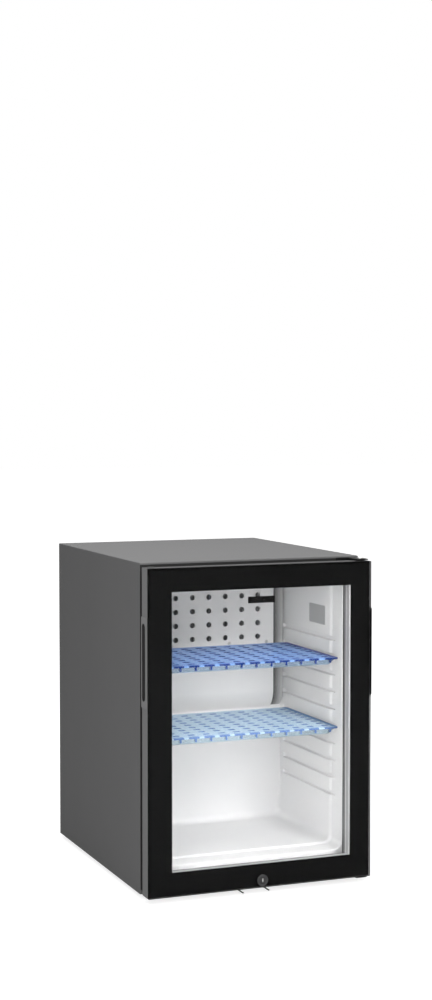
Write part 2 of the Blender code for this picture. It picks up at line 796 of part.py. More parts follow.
def make_feet(rubber):
    """Four turned pads under the base panel's corners."""
    high = FOOT_HEIGHT - CLEAR
    profile = [(0, 0), (FOOT_RADIUS, 0), (FOOT_RADIUS, FOOT_HEIGHT / 3), (FOOT_TOP_RADIUS, high), (0, high)]
    for depth_name, y in (("front", case_front + FOOT_INSET), ("rear", case_back - FOOT_INSET)):
        for side_name, side in (("left", -1), ("right", 1)):
            place = (side * (case_half - FOOT_INSET), y, 0)
            add(f"{depth_name}_{side_name}_foot", turned(profile, place, (0, 0, 1)), rubber)


def make_cooling_unit(dark_steel, bare_steel, aluminium, white, plastic):
    """Absorption unit: boiler, condenser, absorber and its tank, on two cross rails."""
    for name, top in (("lower_unit_rail", lower_rail_z), ("upper_unit_rail", upper_rail_z)):
        rail_back = rail_front + RAIL_WIDTH
        path = [(rail_front, top), (rail_back, top), (rail_back, top - RAIL_FLANGE)]
        rail = add(name, profiled_bar(sheet_outline(path, -SHEET), 0, -inner_half, inner_half), bare_steel)
        if name == "upper_unit_rail":
            for x in (boiler_x, entry_x):
                cut(rail, upright_bore(x, unit_y, top - 2 * SHEET, top + SHEET, CONDENSER_RADIUS))

    casing = block((boiler_wall, rail_front, boiler_low),
                   (boiler_wall + BOILER_WIDTH, rail_front + BOILER_DEPTH, boiler_high))
    round_edges(casing, along(2), BOILER_CORNER)
    casing = add("boiler_casing", casing, bare_steel)
    heater_x = boiler_x + HEATER_OFFSET
    heater_low = boiler_high - HEATER_DEPTH
    cut(casing, upright_bore(heater_x, unit_y, heater_low - CLEAR, boiler_high + SHEET, HEATER_RADIUS))
    heater = rod((heater_x, unit_y, heater_low), (heater_x, unit_y, boiler_high + HEATER_PROUD),
                 HEATER_RADIUS, SMALL_ROUND)
    add("heater_cartridge", heater, bare_steel)

    profile = [(0, 0), (DOME_SHOULDER_RADIUS, DOME_SHOULDER), (VESSEL_RADIUS, VESSEL_DOME),
               (VESSEL_RADIUS, VESSEL_LENGTH - VESSEL_DOME),
               (DOME_SHOULDER_RADIUS, VESSEL_LENGTH - DOME_SHOULDER), (0, VESSEL_LENGTH)]
    add("absorber_vessel", turned(profile, (vessel_left, unit_y, vessel_z), (1, 0, 0)), dark_steel)

    route = [(boiler_x, unit_y, boiler_high + CLEAR), (boiler_x, unit_y, condenser_z),
             (entry_x, unit_y, condenser_z), (entry_x, unit_y, entry_z), (entry_x, cavity_back, entry_z)]
    pipe("condenser_tube", route, CONDENSER_RADIUS, CONDENSER_BEND, dark_steel)
    make_condenser_fins(aluminium)

    route = [(return_x, cavity_back, return_z), (return_x, unit_y, return_z), (return_x, unit_y, vessel_top)]
    pipe("return_tube", route, RETURN_RADIUS, RETURN_BEND, dark_steel)
    pipe("absorber_coil", coil_route(), COIL_RADIUS, COIL_BEND, dark_steel)
    solution = rod((vessel_right + CLEAR, unit_y, vessel_z), (boiler_wall - CLEAR, unit_y, vessel_z),
                   SOLUTION_RADIUS, SMALL_ROUND)
    add("solution_tube", solution, dark_steel)
    make_drain(white, plastic)
    make_controls(plastic)


def make_drain(white, plastic):
    """The tube from the drip channel through the rear wall, and the cup on the warm tank."""
    high = vessel_top + CUP_HEIGHT
    cup_low = Vector((drain_x - CUP_LENGTH / 2, unit_y - CUP_DEPTH / 2, vessel_top))
    cup_high = Vector((drain_x + CUP_LENGTH / 2, unit_y + CUP_DEPTH / 2, high))
    cup = add("condensate_cup", block(cup_low, cup_high), white)
    inside = Vector((CUP_WALL, CUP_WALL, CUP_WALL))
    cut(cup, block(cup_low + inside, cup_high + Vector((-CUP_WALL, -CUP_WALL, CUP_WALL))))
    route = [(drain_x, cavity_back, drain_z), (drain_x, unit_y, drain_z), (drain_x, unit_y, high + CUP_WALL)]
    pipe("drain_tube", route, DRAIN_RADIUS, DRAIN_BEND, plastic)


def make_controls(plastic):
    """Box of the thermostat and wiring beside the boiler, with the gland of the mains cord."""
    front = panel_back + CLEAR
    right = inner_half - CONTROL_BOX_SIDE_GAP
    left = right - CONTROL_BOX_WIDTH
    box_low = boiler_low + CONTROL_BOX_LIFT
    box = block((left, front, box_low), (right, front + CONTROL_BOX_DEPTH, box_low + CONTROL_BOX_HEIGHT))
    add("control_box", round_edges(box, along(1), CONTROL_BOX_CORNER, 1), plastic)
    neck = GLAND_LENGTH - GLAND_FLANGE
    profile = [(GLAND_BORE, 0), (GLAND_NECK, 0), (GLAND_NECK, neck), (GLAND_RADIUS, neck),
               (GLAND_RADIUS, GLAND_LENGTH), (GLAND_BORE, GLAND_LENGTH), (GLAND_BORE, 0)]
    place = ((left + right) / 2, front + CONTROL_BOX_DEPTH / 2, box_low - CLEAR - GLAND_LENGTH)
    add("cable_gland", turned(profile, place, (0, 0, 1)), plastic)


def coil_route():
    """Up from the tank, to and fro in level passes, and forward into the return tube."""
    coil_y = unit_y + COIL_SETBACK
    centre = boiler_x - COIL_OFFSET
    left, right = centre - COIL_HALF_WIDTH, centre + COIL_HALF_WIDTH
    offset_z = case_bottom + COIL_LOWEST - COIL_RISE
    route = [(left, unit_y, vessel_top), (left, unit_y, offset_z), (left, coil_y, offset_z)]
    for step in range(COIL_PASSES):
        z = case_bottom + COIL_LOWEST + step * COIL_PASS_PITCH
        start, end = (right, left) if step % 2 else (left, right)
        route += [(start, coil_y, z), (end, coil_y, z)]
    route[-1] = (return_x, coil_y, z)
    route.append((return_x, unit_y + RETURN_RADIUS + CLEAR, z))
    return route


def make_condenser_fins(aluminium):
    """Square plates side by side on the condenser's level run, joined by their touching collars."""
    half = CONDENSER_FIN_SIZE / 2
    middle = (boiler_x + entry_x) / 2
    whole = bmesh.new()
    for i in range(CONDENSER_FIN_COUNT):
        x = middle + (i - (CONDENSER_FIN_COUNT - 1) / 2) * CONDENSER_FIN_PITCH
        merge_into(whole, block((x - CONDENSER_FIN_THICKNESS / 2, unit_y - half, condenser_z - half),
                                (x + CONDENSER_FIN_THICKNESS / 2, unit_y + half, condenser_z + half)))
    fins = add("condenser_fins", whole, aluminium)
    reach = (CONDENSER_FIN_COUNT - 1) / 2 * CONDENSER_FIN_PITCH + CONDENSER_FIN_THICKNESS * 2
    collar = rod((middle - reach, unit_y, condenser_z), (middle + reach, unit_y, condenser_z),
                 CONDENSER_RADIUS + 2 * CONDENSER_FIN_THICKNESS, SMALL_ROUND)
    join(fins, collar)
    hole = (CONDENSER_RADIUS + CLEAR) / math.cos(math.pi / SMALL_ROUND)
    cut(fins, rod((entry_x, unit_y, condenser_z), (boiler_x, unit_y, condenser_z), hole, SMALL_ROUND))


def make_brackets(black, steel):
    """Two angle brackets on the case's front, their pins, and the screws that hold them."""
    left, right = hinge_x - BRACKET_INNER_REACH, case_half - BRACKET_OUTER_GAP
    front = hinge_y - BRACKET_FRONT_REACH
    seat = case_front - CLEAR
    for name, sign, edge in (("upper", 1, door_high), ("lower", -1, door_low)):
        near = edge + sign * bracket_gap
        far = near + sign * BRACKET_SHEET
        path = [(front, far), (seat, far), (seat, far - sign * BRACKET_LEAF)]
        outline = sheet_outline(path, -sign * BRACKET_SHEET)
        bracket = add(f"{name}_hinge_bracket", profiled_bar(outline, 0, left, right), black)
        cut(bracket, upright_bore(hinge_x, hinge_y, min(near, far) - SHEET, max(near, far) + SHEET,
                                  PIN_RADIUS, ROUND))
        under_head = PIN_LENGTH + BRACKET_SHEET + CLEAR
        end = under_head + PIN_HEAD_HEIGHT
        profile = [(0, 0), (PIN_RADIUS, 0), (PIN_RADIUS, under_head), (PIN_HEAD_RADIUS, under_head),
                   (PIN_HEAD_RADIUS, end), (0, end)]
        pin = turned(profile, (hinge_x, hinge_y, near - sign * PIN_LENGTH), (0, 0, sign))
        add(f"{name}_hinge_pin", pin, steel)
        for x, z in bracket_screw_places():
            if abs(z - far) < BRACKET_LEAF:
                cut(bracket, level_bore(x, z, seat - 2 * BRACKET_SHEET, seat + SHEET, SCREW_RADIUS))
                place = "outer" if x > hinge_x else "inner"
                screw = screw_solid((x, seat - BRACKET_SHEET, z), (0, 1, 0))
                add(f"{name}_{place}_hinge_screw", screw, steel)


def make_strike(black):
    """Fork under the case: a plate stepped down and turned up into a lip, with a prong at each side."""
    seat = case_bottom - CLEAR
    low = seat - STRIKE_DROP
    lip_back = cam_front - STRIKE_PLAY
    heel = case_front + SHEET + STRIKE_DROP
    path = [(case_front + STRIKE_LENGTH, seat), (heel, seat), (heel - STRIKE_DROP, low), (lip_back, low),
            (lip_back, case_bottom + STRIKE_LIP_RISE)]
    bent = profiled_bar(sheet_outline(path, STRIKE_SHEET), 0, -STRIKE_LEFT, STRIKE_RIGHT)
    strike = add("strike_bracket", bent, black)
    end = lip_back - PRONG_LENGTH
    for left in (-STRIKE_LEFT, STRIKE_RIGHT - PRONG_WIDTH):
        join(strike, block((left, end, low - STRIKE_SHEET),
                           (left + PRONG_WIDTH, lip_back - STRIKE_SHEET / 2, low - CLEAR)))


def make_door(pivot, frame_finish, glass, black, aluminium, seal_rubber, plastic):
    """Frame, double glazing, seal, grips, bushes and plugs, all carried by the hinge axis."""
    origin = world_place(pivot)
    slot_end = SEAL_SLOT_INSET + SEAL_SLOT_WIDTH
    profile = [(0, frame_front), (0, door_back - FRAME_CHAMFER), (FRAME_CHAMFER, door_back),
               (SEAL_SLOT_INSET, door_back), (SEAL_SLOT_INSET, door_back - SEAL_SLOT_DEPTH),
               (slot_end, door_back - SEAL_SLOT_DEPTH), (slot_end, door_back),
               (seal_inner_inset, door_back), (seal_inner_inset, pane_back + CLEAR),
               (frame_inset, pane_back + CLEAR), (frame_inset, frame_front)]
    ring = mitred_ring(profile, door_half, door_low, door_high)
    frame = add("door_frame", ring, frame_finish, origin, pivot)
    barrel_hole = (0, lock_z, door_front - SHEET, door_back + SHEET, BARREL_RADIUS, ROUND)
    cut(frame, level_bore(*barrel_hole))
    deep = BUSH_LENGTH + CLEAR
    for x in (-hinge_x, hinge_x):
        for low, high in ((door_low - SHEET, door_low + deep), (door_high - deep, door_high + SHEET)):
            cut(frame, upright_bore(x, hinge_y, low, high, bush_radius, ROUND))

    pane = block((-door_half, door_front, door_low), (door_half, door_front + GLASS_THICKNESS, door_high))
    round_edges(pane, along(1), GLASS_CORNER)
    pane = add("front_glass", pane, glass, origin, pivot)
    cut(pane, level_bore(*barrel_hole))

    back = print_front + PRINT_THICKNESS
    profile = [(PRINT_EDGE, print_front), (PRINT_EDGE, back), (BORDER, back), (BORDER, print_front)]
    ring = mitred_ring(profile, door_half, door_low, door_high)
    border = add("border_print", ring, black, origin, pivot)
    cut(border, level_bore(*barrel_hole))

    profile = [(pane_inset, frame_front), (pane_inset, spacer_back),
               (spacer_inset, spacer_back), (spacer_inset, frame_front)]
    ring = mitred_ring(profile, door_half, door_low, door_high)
    add("glass_spacer", ring, aluminium, origin, pivot)
    pane = block((pane_inset - door_half, pane_front, door_low + pane_inset),
                 (door_half - pane_inset, pane_back, door_high - pane_inset))
    add("inner_glass", pane, glass, origin, pivot)

    ring = mitred_ring(seal_profile(), door_half, door_low, door_high)
    add("door_gasket", ring, seal_rubber, origin, pivot)
    make_grips(frame, pivot, frame_finish)
    make_bushes(pivot, plastic)


def seal_profile():
    """Dart in the frame's slot, a waist, and the magnet's pocket against the case."""
    root = door_back + CLEAR
    face = case_front - CLEAR
    edge_y, waist_y, pocket_y = (root + (face - root) * step for step in SEAL_STEPS)
    inner, outer = seal_inner_inset, SEAL_INSET
    dart_low = SEAL_SLOT_INSET + CLEAR
    dart_high = SEAL_SLOT_INSET + SEAL_SLOT_WIDTH - CLEAR
    dart_tip = door_back - SEAL_SLOT_DEPTH + CLEAR
    return [(dart_low, root), (dart_low, dart_tip), (dart_high, dart_tip), (dart_high, root),
            (inner - SEAL_EDGE, root), (inner, edge_y), (inner - SEAL_NECK, waist_y), (inner, pocket_y),
            (inner, face), (outer, face), (outer, pocket_y), (outer + SEAL_NECK, waist_y), (outer, edge_y),
            (outer + SEAL_EDGE, root)]


def make_grips(frame, pivot, frame_finish):
    """A finger cup let into each upright edge, with a flange that laps the glass."""
    origin = world_place(pivot)
    centre = door_high - GRIP_DROP
    flange_back = door_back - FRAME_CHAMFER
    edge = door_half + CLEAR
    face = edge + GRIP_PROUD
    floor = face - GRIP_POCKET_DEPTH
    wide, tall = GRIP_POCKET_WIDTH / 2, GRIP_POCKET_LENGTH / 2

    def side_block(side, inner, outer, grow):
        left, right = sorted((side * inner, side * outer))
        solid = block((left, hinge_y - wide - grow, centre - tall - grow),
                      (right, hinge_y + wide + grow, centre + tall + grow))
        return round_edges(solid, along(0), POCKET_CORNER + grow)

    for name, side in (("left_grip", -1), ("right_grip", 1)):
        left, right = sorted((side * edge, side * face))
        plate = block((left, door_front, centre - GRIP_LENGTH / 2),
                      (right, flange_back, centre + GRIP_LENGTH / 2))
        grip = add(name, round_edges(plate, along(0), GRIP_CORNER, 1), frame_finish, origin, pivot)
        join(grip, side_block(side, floor - GRIP_WALL, edge + GRIP_PROUD / 2, GRIP_WALL))
        cut(grip, side_block(side, floor, face + SHEET, 0))
        cut(frame, side_block(side, floor - GRIP_WALL - CLEAR, edge + SHEET, GRIP_WALL + CLEAR))


def make_bushes(pivot, plastic):
    """Bushes on the hinge side, plugs in the same holes on the other side."""
    origin = world_place(pivot)
    inner = PIN_RADIUS / math.cos(math.pi / ROUND) + RUNNING
    outer = bush_radius
    rim = outer + BUSH_FLANGE
    top = CLEAR + BUSH_FLANGE_HEIGHT
    for name, edge, sign in (("upper", door_high, 1), ("lower", door_low, -1)):
        profile = [(inner, -BUSH_LENGTH), (outer, -BUSH_LENGTH), (outer, CLEAR), (rim, CLEAR), (rim, top),
                   (inner, top), (inner, -BUSH_LENGTH)]
        bush = turned(profile, (hinge_x, hinge_y, edge), (0, 0, sign))
        add(f"{name}_bush", bush, plastic, origin, pivot)
        profile = [(0, -BUSH_LENGTH / 2), (outer, -BUSH_LENGTH / 2), (outer, CLEAR), (rim, CLEAR),
                   (rim, top), (0, top)]
        plug = turned(profile, (-hinge_x, hinge_y, edge), (0, 0, sign), SMALL_ROUND)
        add(f"{name}_blanking_plug", plug, plastic, origin, pivot)


def make_lock(pivot, turn_axis, steel):
    """Barrel fixed in the door; plug, cam and screw turn together."""
    door_origin, origin = world_place(pivot), world_place(turn_axis)
    hole = PLUG_RADIUS / math.cos(math.pi / ROUND) + RUNNING
    front = door_front - LOCK_PROUD
    shoulder = door_front - CLEAR - front
    length = door_back - front
    profile = [(hole, 0), (COLLAR_RADIUS - COLLAR_EDGE, 0), (COLLAR_RADIUS, COLLAR_EDGE),
               (COLLAR_RADIUS, shoulder), (BARREL_RADIUS, shoulder), (BARREL_RADIUS, length),
               (hole, length), (hole, 0)]
    add("lock_barrel", turned(profile, (0, front, lock_z), (0, 1, 0)), steel, door_origin, pivot)

    front += PLUG_PROUD
    barrel_end = door_back - front
    shoulder = cam_front - CLEAR - front
    end = cam_back + CLEAR - front
    profile = [(0, 0), (PLUG_RADIUS, 0), (PLUG_RADIUS, barrel_end), (PLUG_NECK_RADIUS, barrel_end),
               (PLUG_NECK_RADIUS, shoulder), (PLUG_TAIL_RADIUS, shoulder), (PLUG_TAIL_RADIUS, end), (0, end)]
    plug = add("lock_plug", turned(profile, (0, front, lock_z), (0, 1, 0)), steel, origin, turn_axis)
    keyhole = block((-KEYHOLE_WIDTH / 2, front - SHEET, lock_z - KEYHOLE_LENGTH / 2),
                    (KEYHOLE_WIDTH / 2, front + KEYHOLE_DEPTH, lock_z + KEYHOLE_LENGTH / 2))
    cut(plug, keyhole, level_bore(0, lock_z, cam_front, cam_back + SHEET, CAM_THREAD_RADIUS))

    half = CAM_WIDTH / 2
    lever = block((-half, cam_front, lock_z - half), (CAM_LENGTH, cam_back, lock_z + half))
    lever = add("lock_cam", round_edges(lever, along(1), CAM_CORNER), steel, origin, turn_axis)
    cut(lever, level_bore(0, lock_z, cam_front - SHEET, cam_back + SHEET, PLUG_TAIL_RADIUS, ROUND))

    seat = cam_back + 2 * CLEAR
    tip = cam_front + CLEAR - seat
    profile = [(0, tip), (CAM_THREAD_RADIUS, tip), (CAM_THREAD_RADIUS, 0), (CAM_HEAD_RADIUS, 0),
               (CAM_HEAD_RADIUS, SCREW_HEAD_HEIGHT), (0, SCREW_HEAD_HEIGHT)]
    screw = turned(profile, (0, seat, lock_z), (0, 1, 0), SMALL_ROUND)
    add("cam_screw", screw, steel, origin, turn_axis)


def make_shelf(name, level, plastic):
    """Slotted plate whose side edges run in the grooves, with a notched front lip."""
    bottom = case_bottom + LOWEST_GROOVE + level * GROOVE_PITCH - GROOVE_HEIGHT / 2 + CLEAR
    top = bottom + SHELF_THICKNESS
    front = case_front + SHELF_FRONT
    half = cavity_half + SHELF_TONGUE
    plate = block((-half, front, bottom), (half, front + SHELF_LENGTH, top))
    round_edges(plate, along(2), SHELF_CORNER)
    shelf = add(name, plate, plastic, (0, front, bottom))
    lip_half = cavity_half - SHELF_TONGUE
    lip_back = front + SHELF_LIP_THICKNESS
    join(shelf, block((-lip_half, front + CLEAR, top - SHELF_LIP_HEIGHT),
                      (lip_half, lip_back, bottom + SHELF_THICKNESS / 2)))
    holes = bmesh.new()

    def slot(x, y, length, width):
        merge_into(holes, block((x - length / 2, y - width / 2, bottom - SHEET),
                                (x + length / 2, y + width / 2, top + SHEET)))
    for column in range(SHELF_SLOT_COLUMNS):
        x = (column - (SHELF_SLOT_COLUMNS - 1) / 2) * SHELF_SLOT_PITCH_X
        for row in range(SHELF_SLOT_ROWS):
            y = front + SHELF_FIRST_ROW + row * SHELF_SLOT_PITCH_Y
            slot(x, y, SHELF_SLOT_LENGTH, SHELF_SLOT_WIDTH)
        slot(x, lip_back + SHELF_BAR_WIDTH / 2, SHELF_BAR_LENGTH, SHELF_BAR_WIDTH)
        half = SHELF_NOTCH_WIDTH / 2
        merge_into(holes, block((x - half, front - SHEET, bottom - SHELF_NOTCH_HEIGHT),
                                (x + half, lip_back - SHEET / 2, bottom - SHEET)))
    cut(shelf, holes)


def build():
    clear_scene()
    paint = finish("dark_grey_paint", (0.12, 0.12, 0.12), 0.45)
    galvanised = finish("galvanised_steel", (0.55, 0.56, 0.57), 0.4, 0.9)
    foam = finish("cream_foam", (0.80, 0.74, 0.55), 0.9)
    white = finish("white_liner_plastic", (0.85, 0.86, 0.86), 0.35)
    white_paint = finish("white_painted_sheet", (0.82, 0.82, 0.82), 0.35)
    aluminium = finish("aluminium", (0.75, 0.76, 0.77), 0.3, 1.0)
    black_steel = finish("black_painted_steel", (0.02, 0.02, 0.02), 0.5)
    zinc = finish("zinc_plated_steel", (0.6, 0.6, 0.6), 0.35, 1.0)
    glass = finish("clear_glass", (0.95, 0.98, 0.97), 0.03, 0.0, 1.0)
    enamel = finish("black_glass_print", (0.008, 0.008, 0.008), 0.2)
    door_plastic = finish("grey_door_plastic", (0.16, 0.16, 0.165), 0.4)
    seal_rubber = finish("black_seal", (0.03, 0.03, 0.03), 0.7)
    black_plastic = finish("black_plastic", (0.03, 0.03, 0.03), 0.5)
    lamp_plastic = finish("clear_lamp_plastic", (0.9, 0.9, 0.88), 0.3, 0.0, 0.6)
    blue = finish("blue_shelf_plastic", (0.25, 0.42, 0.85), 0.2, 0.0, 0.5)
    foot_rubber = finish("foot_rubber", (0.03, 0.03, 0.03), 0.8)

    make_wrap(paint)
    make_base(black_steel)
    make_back_panel(galvanised)
    make_foam(foam)
    make_liner(white)
    make_fins(aluminium)
    make_channel(white)
    make_cover(white_paint)
    make_cover_screws(zinc)
    make_lamp(white, lamp_plastic)
    make_cooling_unit(black_steel, galvanised, aluminium, white, black_plastic)
    make_feet(foot_rubber)
    make_brackets(black_steel, zinc)
    make_strike(black_steel)

    pivot = axis_empty("door_axis", (hinge_x, hinge_y, door_low))
    make_door(pivot, door_plastic, glass, enamel, aluminium, seal_rubber, black_plastic)
    turn_axis = axis_empty("lock_axis", (0, door_front, lock_z), pivot)
    make_lock(pivot, turn_axis, zinc)
    make_shelf("upper_shelf", UPPER_SHELF_LEVEL, blue)
    make_shelf("lower_shelf", LOWER_SHELF_LEVEL, blue)


build()
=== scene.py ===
"""Looks of a minibar fridge with a glass door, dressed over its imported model.

Metres, in the model's own frame: X right as seen from the front, Y from the door to the back, Z up.
"""

import math

import bmesh
import bpy
from mathutils import Matrix, Vector


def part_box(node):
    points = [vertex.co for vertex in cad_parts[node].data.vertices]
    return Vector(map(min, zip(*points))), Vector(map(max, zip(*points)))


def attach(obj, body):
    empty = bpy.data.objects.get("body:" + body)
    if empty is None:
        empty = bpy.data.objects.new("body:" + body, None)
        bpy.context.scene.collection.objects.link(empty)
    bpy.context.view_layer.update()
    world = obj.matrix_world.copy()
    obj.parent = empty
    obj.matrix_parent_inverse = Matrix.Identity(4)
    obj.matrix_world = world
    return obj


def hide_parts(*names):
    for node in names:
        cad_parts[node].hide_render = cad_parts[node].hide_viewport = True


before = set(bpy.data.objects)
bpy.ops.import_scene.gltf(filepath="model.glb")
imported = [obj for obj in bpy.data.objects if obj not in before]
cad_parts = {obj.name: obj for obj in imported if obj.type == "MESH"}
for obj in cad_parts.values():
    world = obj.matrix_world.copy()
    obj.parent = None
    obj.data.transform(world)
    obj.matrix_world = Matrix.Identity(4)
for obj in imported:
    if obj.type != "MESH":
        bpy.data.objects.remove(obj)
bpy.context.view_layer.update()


# The outer wrap. One sheet of 1 mm steel is folded into the left side, the top and the right side,
# with narrow flanges turned in at the front and the back. It is powder painted dark grey, which
# leaves a very fine texture, and the other sheets slip in behind its flanges.

def fill_in(node, values):
    """Plain values for a shader node's inputs."""
    for label, value in values.items():
        node.inputs[label].default_value = value


def arithmetic(tree, operation, first, second):
    """A maths node's result, from sockets or plain values."""
    node = tree.nodes.new("ShaderNodeMath")
    node.operation = operation
    for socket, value in zip(node.inputs, (first, second)):
        if isinstance(value, bpy.types.NodeSocket):
            tree.links.new(value, socket)
        else:
            socket.default_value = value
    return node.outputs[0]


def make_surface_group():
    """Uneven colour, uneven gloss and a fine relief, for every plain material of the fridge."""
    group = bpy.data.node_groups.new("worked_surface", "ShaderNodeTree")
    for way, labels in (("INPUT", ("Colour", "Roughness", "Grain Scale", "Grain Height", "Mottle")),
                        ("OUTPUT", ("Colour", "Roughness", "Height"))):
        for label in labels:
            kind = "NodeSocketColor" if label == "Colour" else "NodeSocketFloat"
            group.interface.new_socket(label, in_out=way, socket_type=kind)
    nodes, links = group.nodes, group.links
    entry, leave = nodes.new("NodeGroupInput"), nodes.new("NodeGroupOutput")
    place = nodes.new("ShaderNodeTexCoord")
    cloud, grain = nodes.new("ShaderNodeTexNoise"), nodes.new("ShaderNodeTexNoise")
    fill_in(cloud, {"Scale": 9.0, "Detail": 3.0})
    fill_in(grain, {"Detail": 1.5})
    for texture in (cloud, grain):
        links.new(place.outputs["Object"], texture.inputs["Vector"])
    links.new(entry.outputs["Grain Scale"], grain.inputs["Scale"])
    off_centre = arithmetic(group, "SUBTRACT", cloud.outputs["Fac"], 0.5)
    swing = arithmetic(group, "MULTIPLY", off_centre, entry.outputs["Mottle"])
    tint = nodes.new("ShaderNodeVectorMath")
    tint.operation = "SCALE"
    links.new(entry.outputs["Colour"], tint.inputs[0])
    links.new(arithmetic(group, "ADD", swing, 1.0), tint.inputs["Scale"])
    links.new(tint.outputs["Vector"], leave.inputs["Colour"])
    half_swing = arithmetic(group, "MULTIPLY", swing, 0.5)
    links.new(arithmetic(group, "ADD", half_swing, entry.outputs["Roughness"]), leave.inputs["Roughness"])
    relief = arithmetic(group, "MULTIPLY", grain.outputs["Fac"], entry.outputs["Grain Height"])
    links.new(relief, leave.inputs["Height"])
    return group


worked_surface = make_surface_group()


def new_material(name):
    material = bpy.data.materials.new(name)
    material.use_nodes = True
    return material, material.node_tree, material.node_tree.nodes["Principled BSDF"]


def finish(name, colour, roughness, grain=1200, height=0.00001, mottle=0.12, metallic=0.0, specular=0.5):
    """One material of a grey level or a colour, with the uneven values from the shared group."""
    material, tree, shader = new_material(name)
    fill_in(shader, {"Metallic": metallic, "Specular IOR Level": specular})
    surface = tree.nodes.new("ShaderNodeGroup")
    surface.node_tree = worked_surface
    colour = (colour,) * 3 if isinstance(colour, float) else colour
    fill_in(surface, {"Colour": (*colour, 1.0), "Roughness": roughness, "Grain Scale": grain,
                      "Grain Height": height, "Mottle": mottle})
    bump = tree.nodes.new("ShaderNodeBump")
    fill_in(bump, {"Distance": 1.0})
    tree.links.new(surface.outputs["Colour"], shader.inputs["Base Color"])
    tree.links.new(surface.outputs["Roughness"], shader.inputs["Roughness"])
    tree.links.new(surface.outputs["Height"], bump.inputs["Height"])
    tree.links.new(bump.outputs["Normal"], shader.inputs["Normal"])
    return material


def keep_flats_flat(piece):
    """Large faces keep their own normal beside rounded edges, as on a real pressed or cast piece."""
    earlier = piece.modifiers.get("flats")
    if earlier:
        piece.modifiers.remove(earlier)
    flats = piece.modifiers.new("flats", "WEIGHTED_NORMAL")
    flats.mode = "FACE_AREA"
    flats.weight = 100
    flats.keep_sharp = True
    return piece


def put(name, bm, material, node=None, body="cabinet", smooth_angle=35):
    """Make the piece an object in the row frame, give it its body, and let it stand for a CAD node."""
    mesh = bpy.data.meshes.new(name)
    bm.to_mesh(mesh)
    bm.free()
    mesh.materials.append(material)
    mesh.shade_smooth()
    mesh.set_sharp_from_angle(angle=math.radians(smooth_angle))
    piece = bpy.data.objects.new(name, mesh)
    bpy.context.scene.collection.objects.link(piece)
    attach(piece, body)
    if node:
        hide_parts(node)
    return keep_flats_flat(piece)


def new_verts(result):
    return [item for item in result["geom"] if isinstance(item, bmesh.types.BMVert)]


def new_edges(result):
    return [item for item in result["geom"] if isinstance(item, bmesh.types.BMEdge)]


def open_line(bm, points):
    """Edges from point to point."""
    verts = [bm.verts.new(point) for point in points]
    return [bm.edges.new(pair) for pair in zip(verts, verts[1:])]


def round_folds(bm, radius, segments=4, sharper_than=40):
    """Round every edge where two faces meet at more than this angle."""
    folds = [edge for edge in bm.edges if len(edge.link_faces) == 2
             and edge.calc_face_angle(0.0) > math.radians(sharper_than)]
    bmesh.ops.bevel(bm, geom=folds, offset=radius, offset_type="OFFSET", segments=segments, profile=0.5,
                    affect="EDGES", clamp_overlap=True, material=-1)
    return bm


def give_wall(piece, thickness):
    """A sheet's thickness, on the side away from its outer skin."""
    wall = piece.modifiers.new("wall", "SOLIDIFY")
    wall.thickness = thickness
    wall.offset = -1.0
    wall.use_even_offset = True
    return keep_flats_flat(piece)


def outer_wrap(low, high):
    front_flange, rear_flange, fold = 0.024, 0.012, 0.0017

    def corners(inset):
        half, top = high.x - inset, high.z - inset
        return [(-half, low.z), (-half, top), (half, top), (half, low.z)]

    bm = bmesh.new()
    here = corners(front_flange)
    edges = open_line(bm, [(x, low.y, z) for x, z in here])
    for inset, y in ((0.0, low.y), (0.0, high.y), (rear_flange, high.y)):
        there = corners(inset)
        made = bmesh.ops.extrude_edge_only(bm, edges=edges)
        for vert in new_verts(made):
            nearest = min(range(4), key=lambda i: math.dist((vert.co.x, vert.co.z), here[i]))
            vert.co = Vector((there[nearest][0], y, there[nearest][1]))
        edges = new_edges(made)
        here = there
    bmesh.ops.recalc_face_normals(bm, faces=bm.faces)
    highest = max(bm.faces, key=lambda face: face.calc_center_median().z)
    if highest.normal.z < 0:
        bmesh.ops.reverse_faces(bm, faces=bm.faces)
    return round_folds(bm, fold)


case_paint = finish("dark_grey_powder_paint", (0.156, 0.156, 0.157), 0.62, grain=1500, height=0.000012,
                    specular=0.03)
case_low, case_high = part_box("outer_wrap")
give_wall(put("case_wrap", outer_wrap(case_low, case_high), case_paint, "outer_wrap"), 0.001)


# The base panel. A black painted steel sheet closes the case from below. Its front and back edges
# turn up inside the wrap, and slots under the cooling unit let the air in.

def bent_sheet(path, left, right, bend, segments=4):
    """A sheet across the fridge whose outer skin follows a path of (y, z) points."""
    bm = bmesh.new()
    made = bmesh.ops.extrude_edge_only(bm, edges=open_line(bm, [(left, y, z) for y, z in path]))
    bmesh.ops.translate(bm, verts=new_verts(made), vec=(right - left, 0, 0))
    bmesh.ops.recalc_face_normals(bm, faces=bm.faces)
    return round_folds(bm, bend, segments, sharper_than=8)


def face_towards(bm, direction):
    """Turn a sheet over if its largest face looks away from this direction."""
    largest = max(bm.faces, key=lambda face: face.calc_area())
    if largest.normal.dot(Vector(direction)) < 0:
        bmesh.ops.reverse_faces(bm, faces=bm.faces)
    return bm


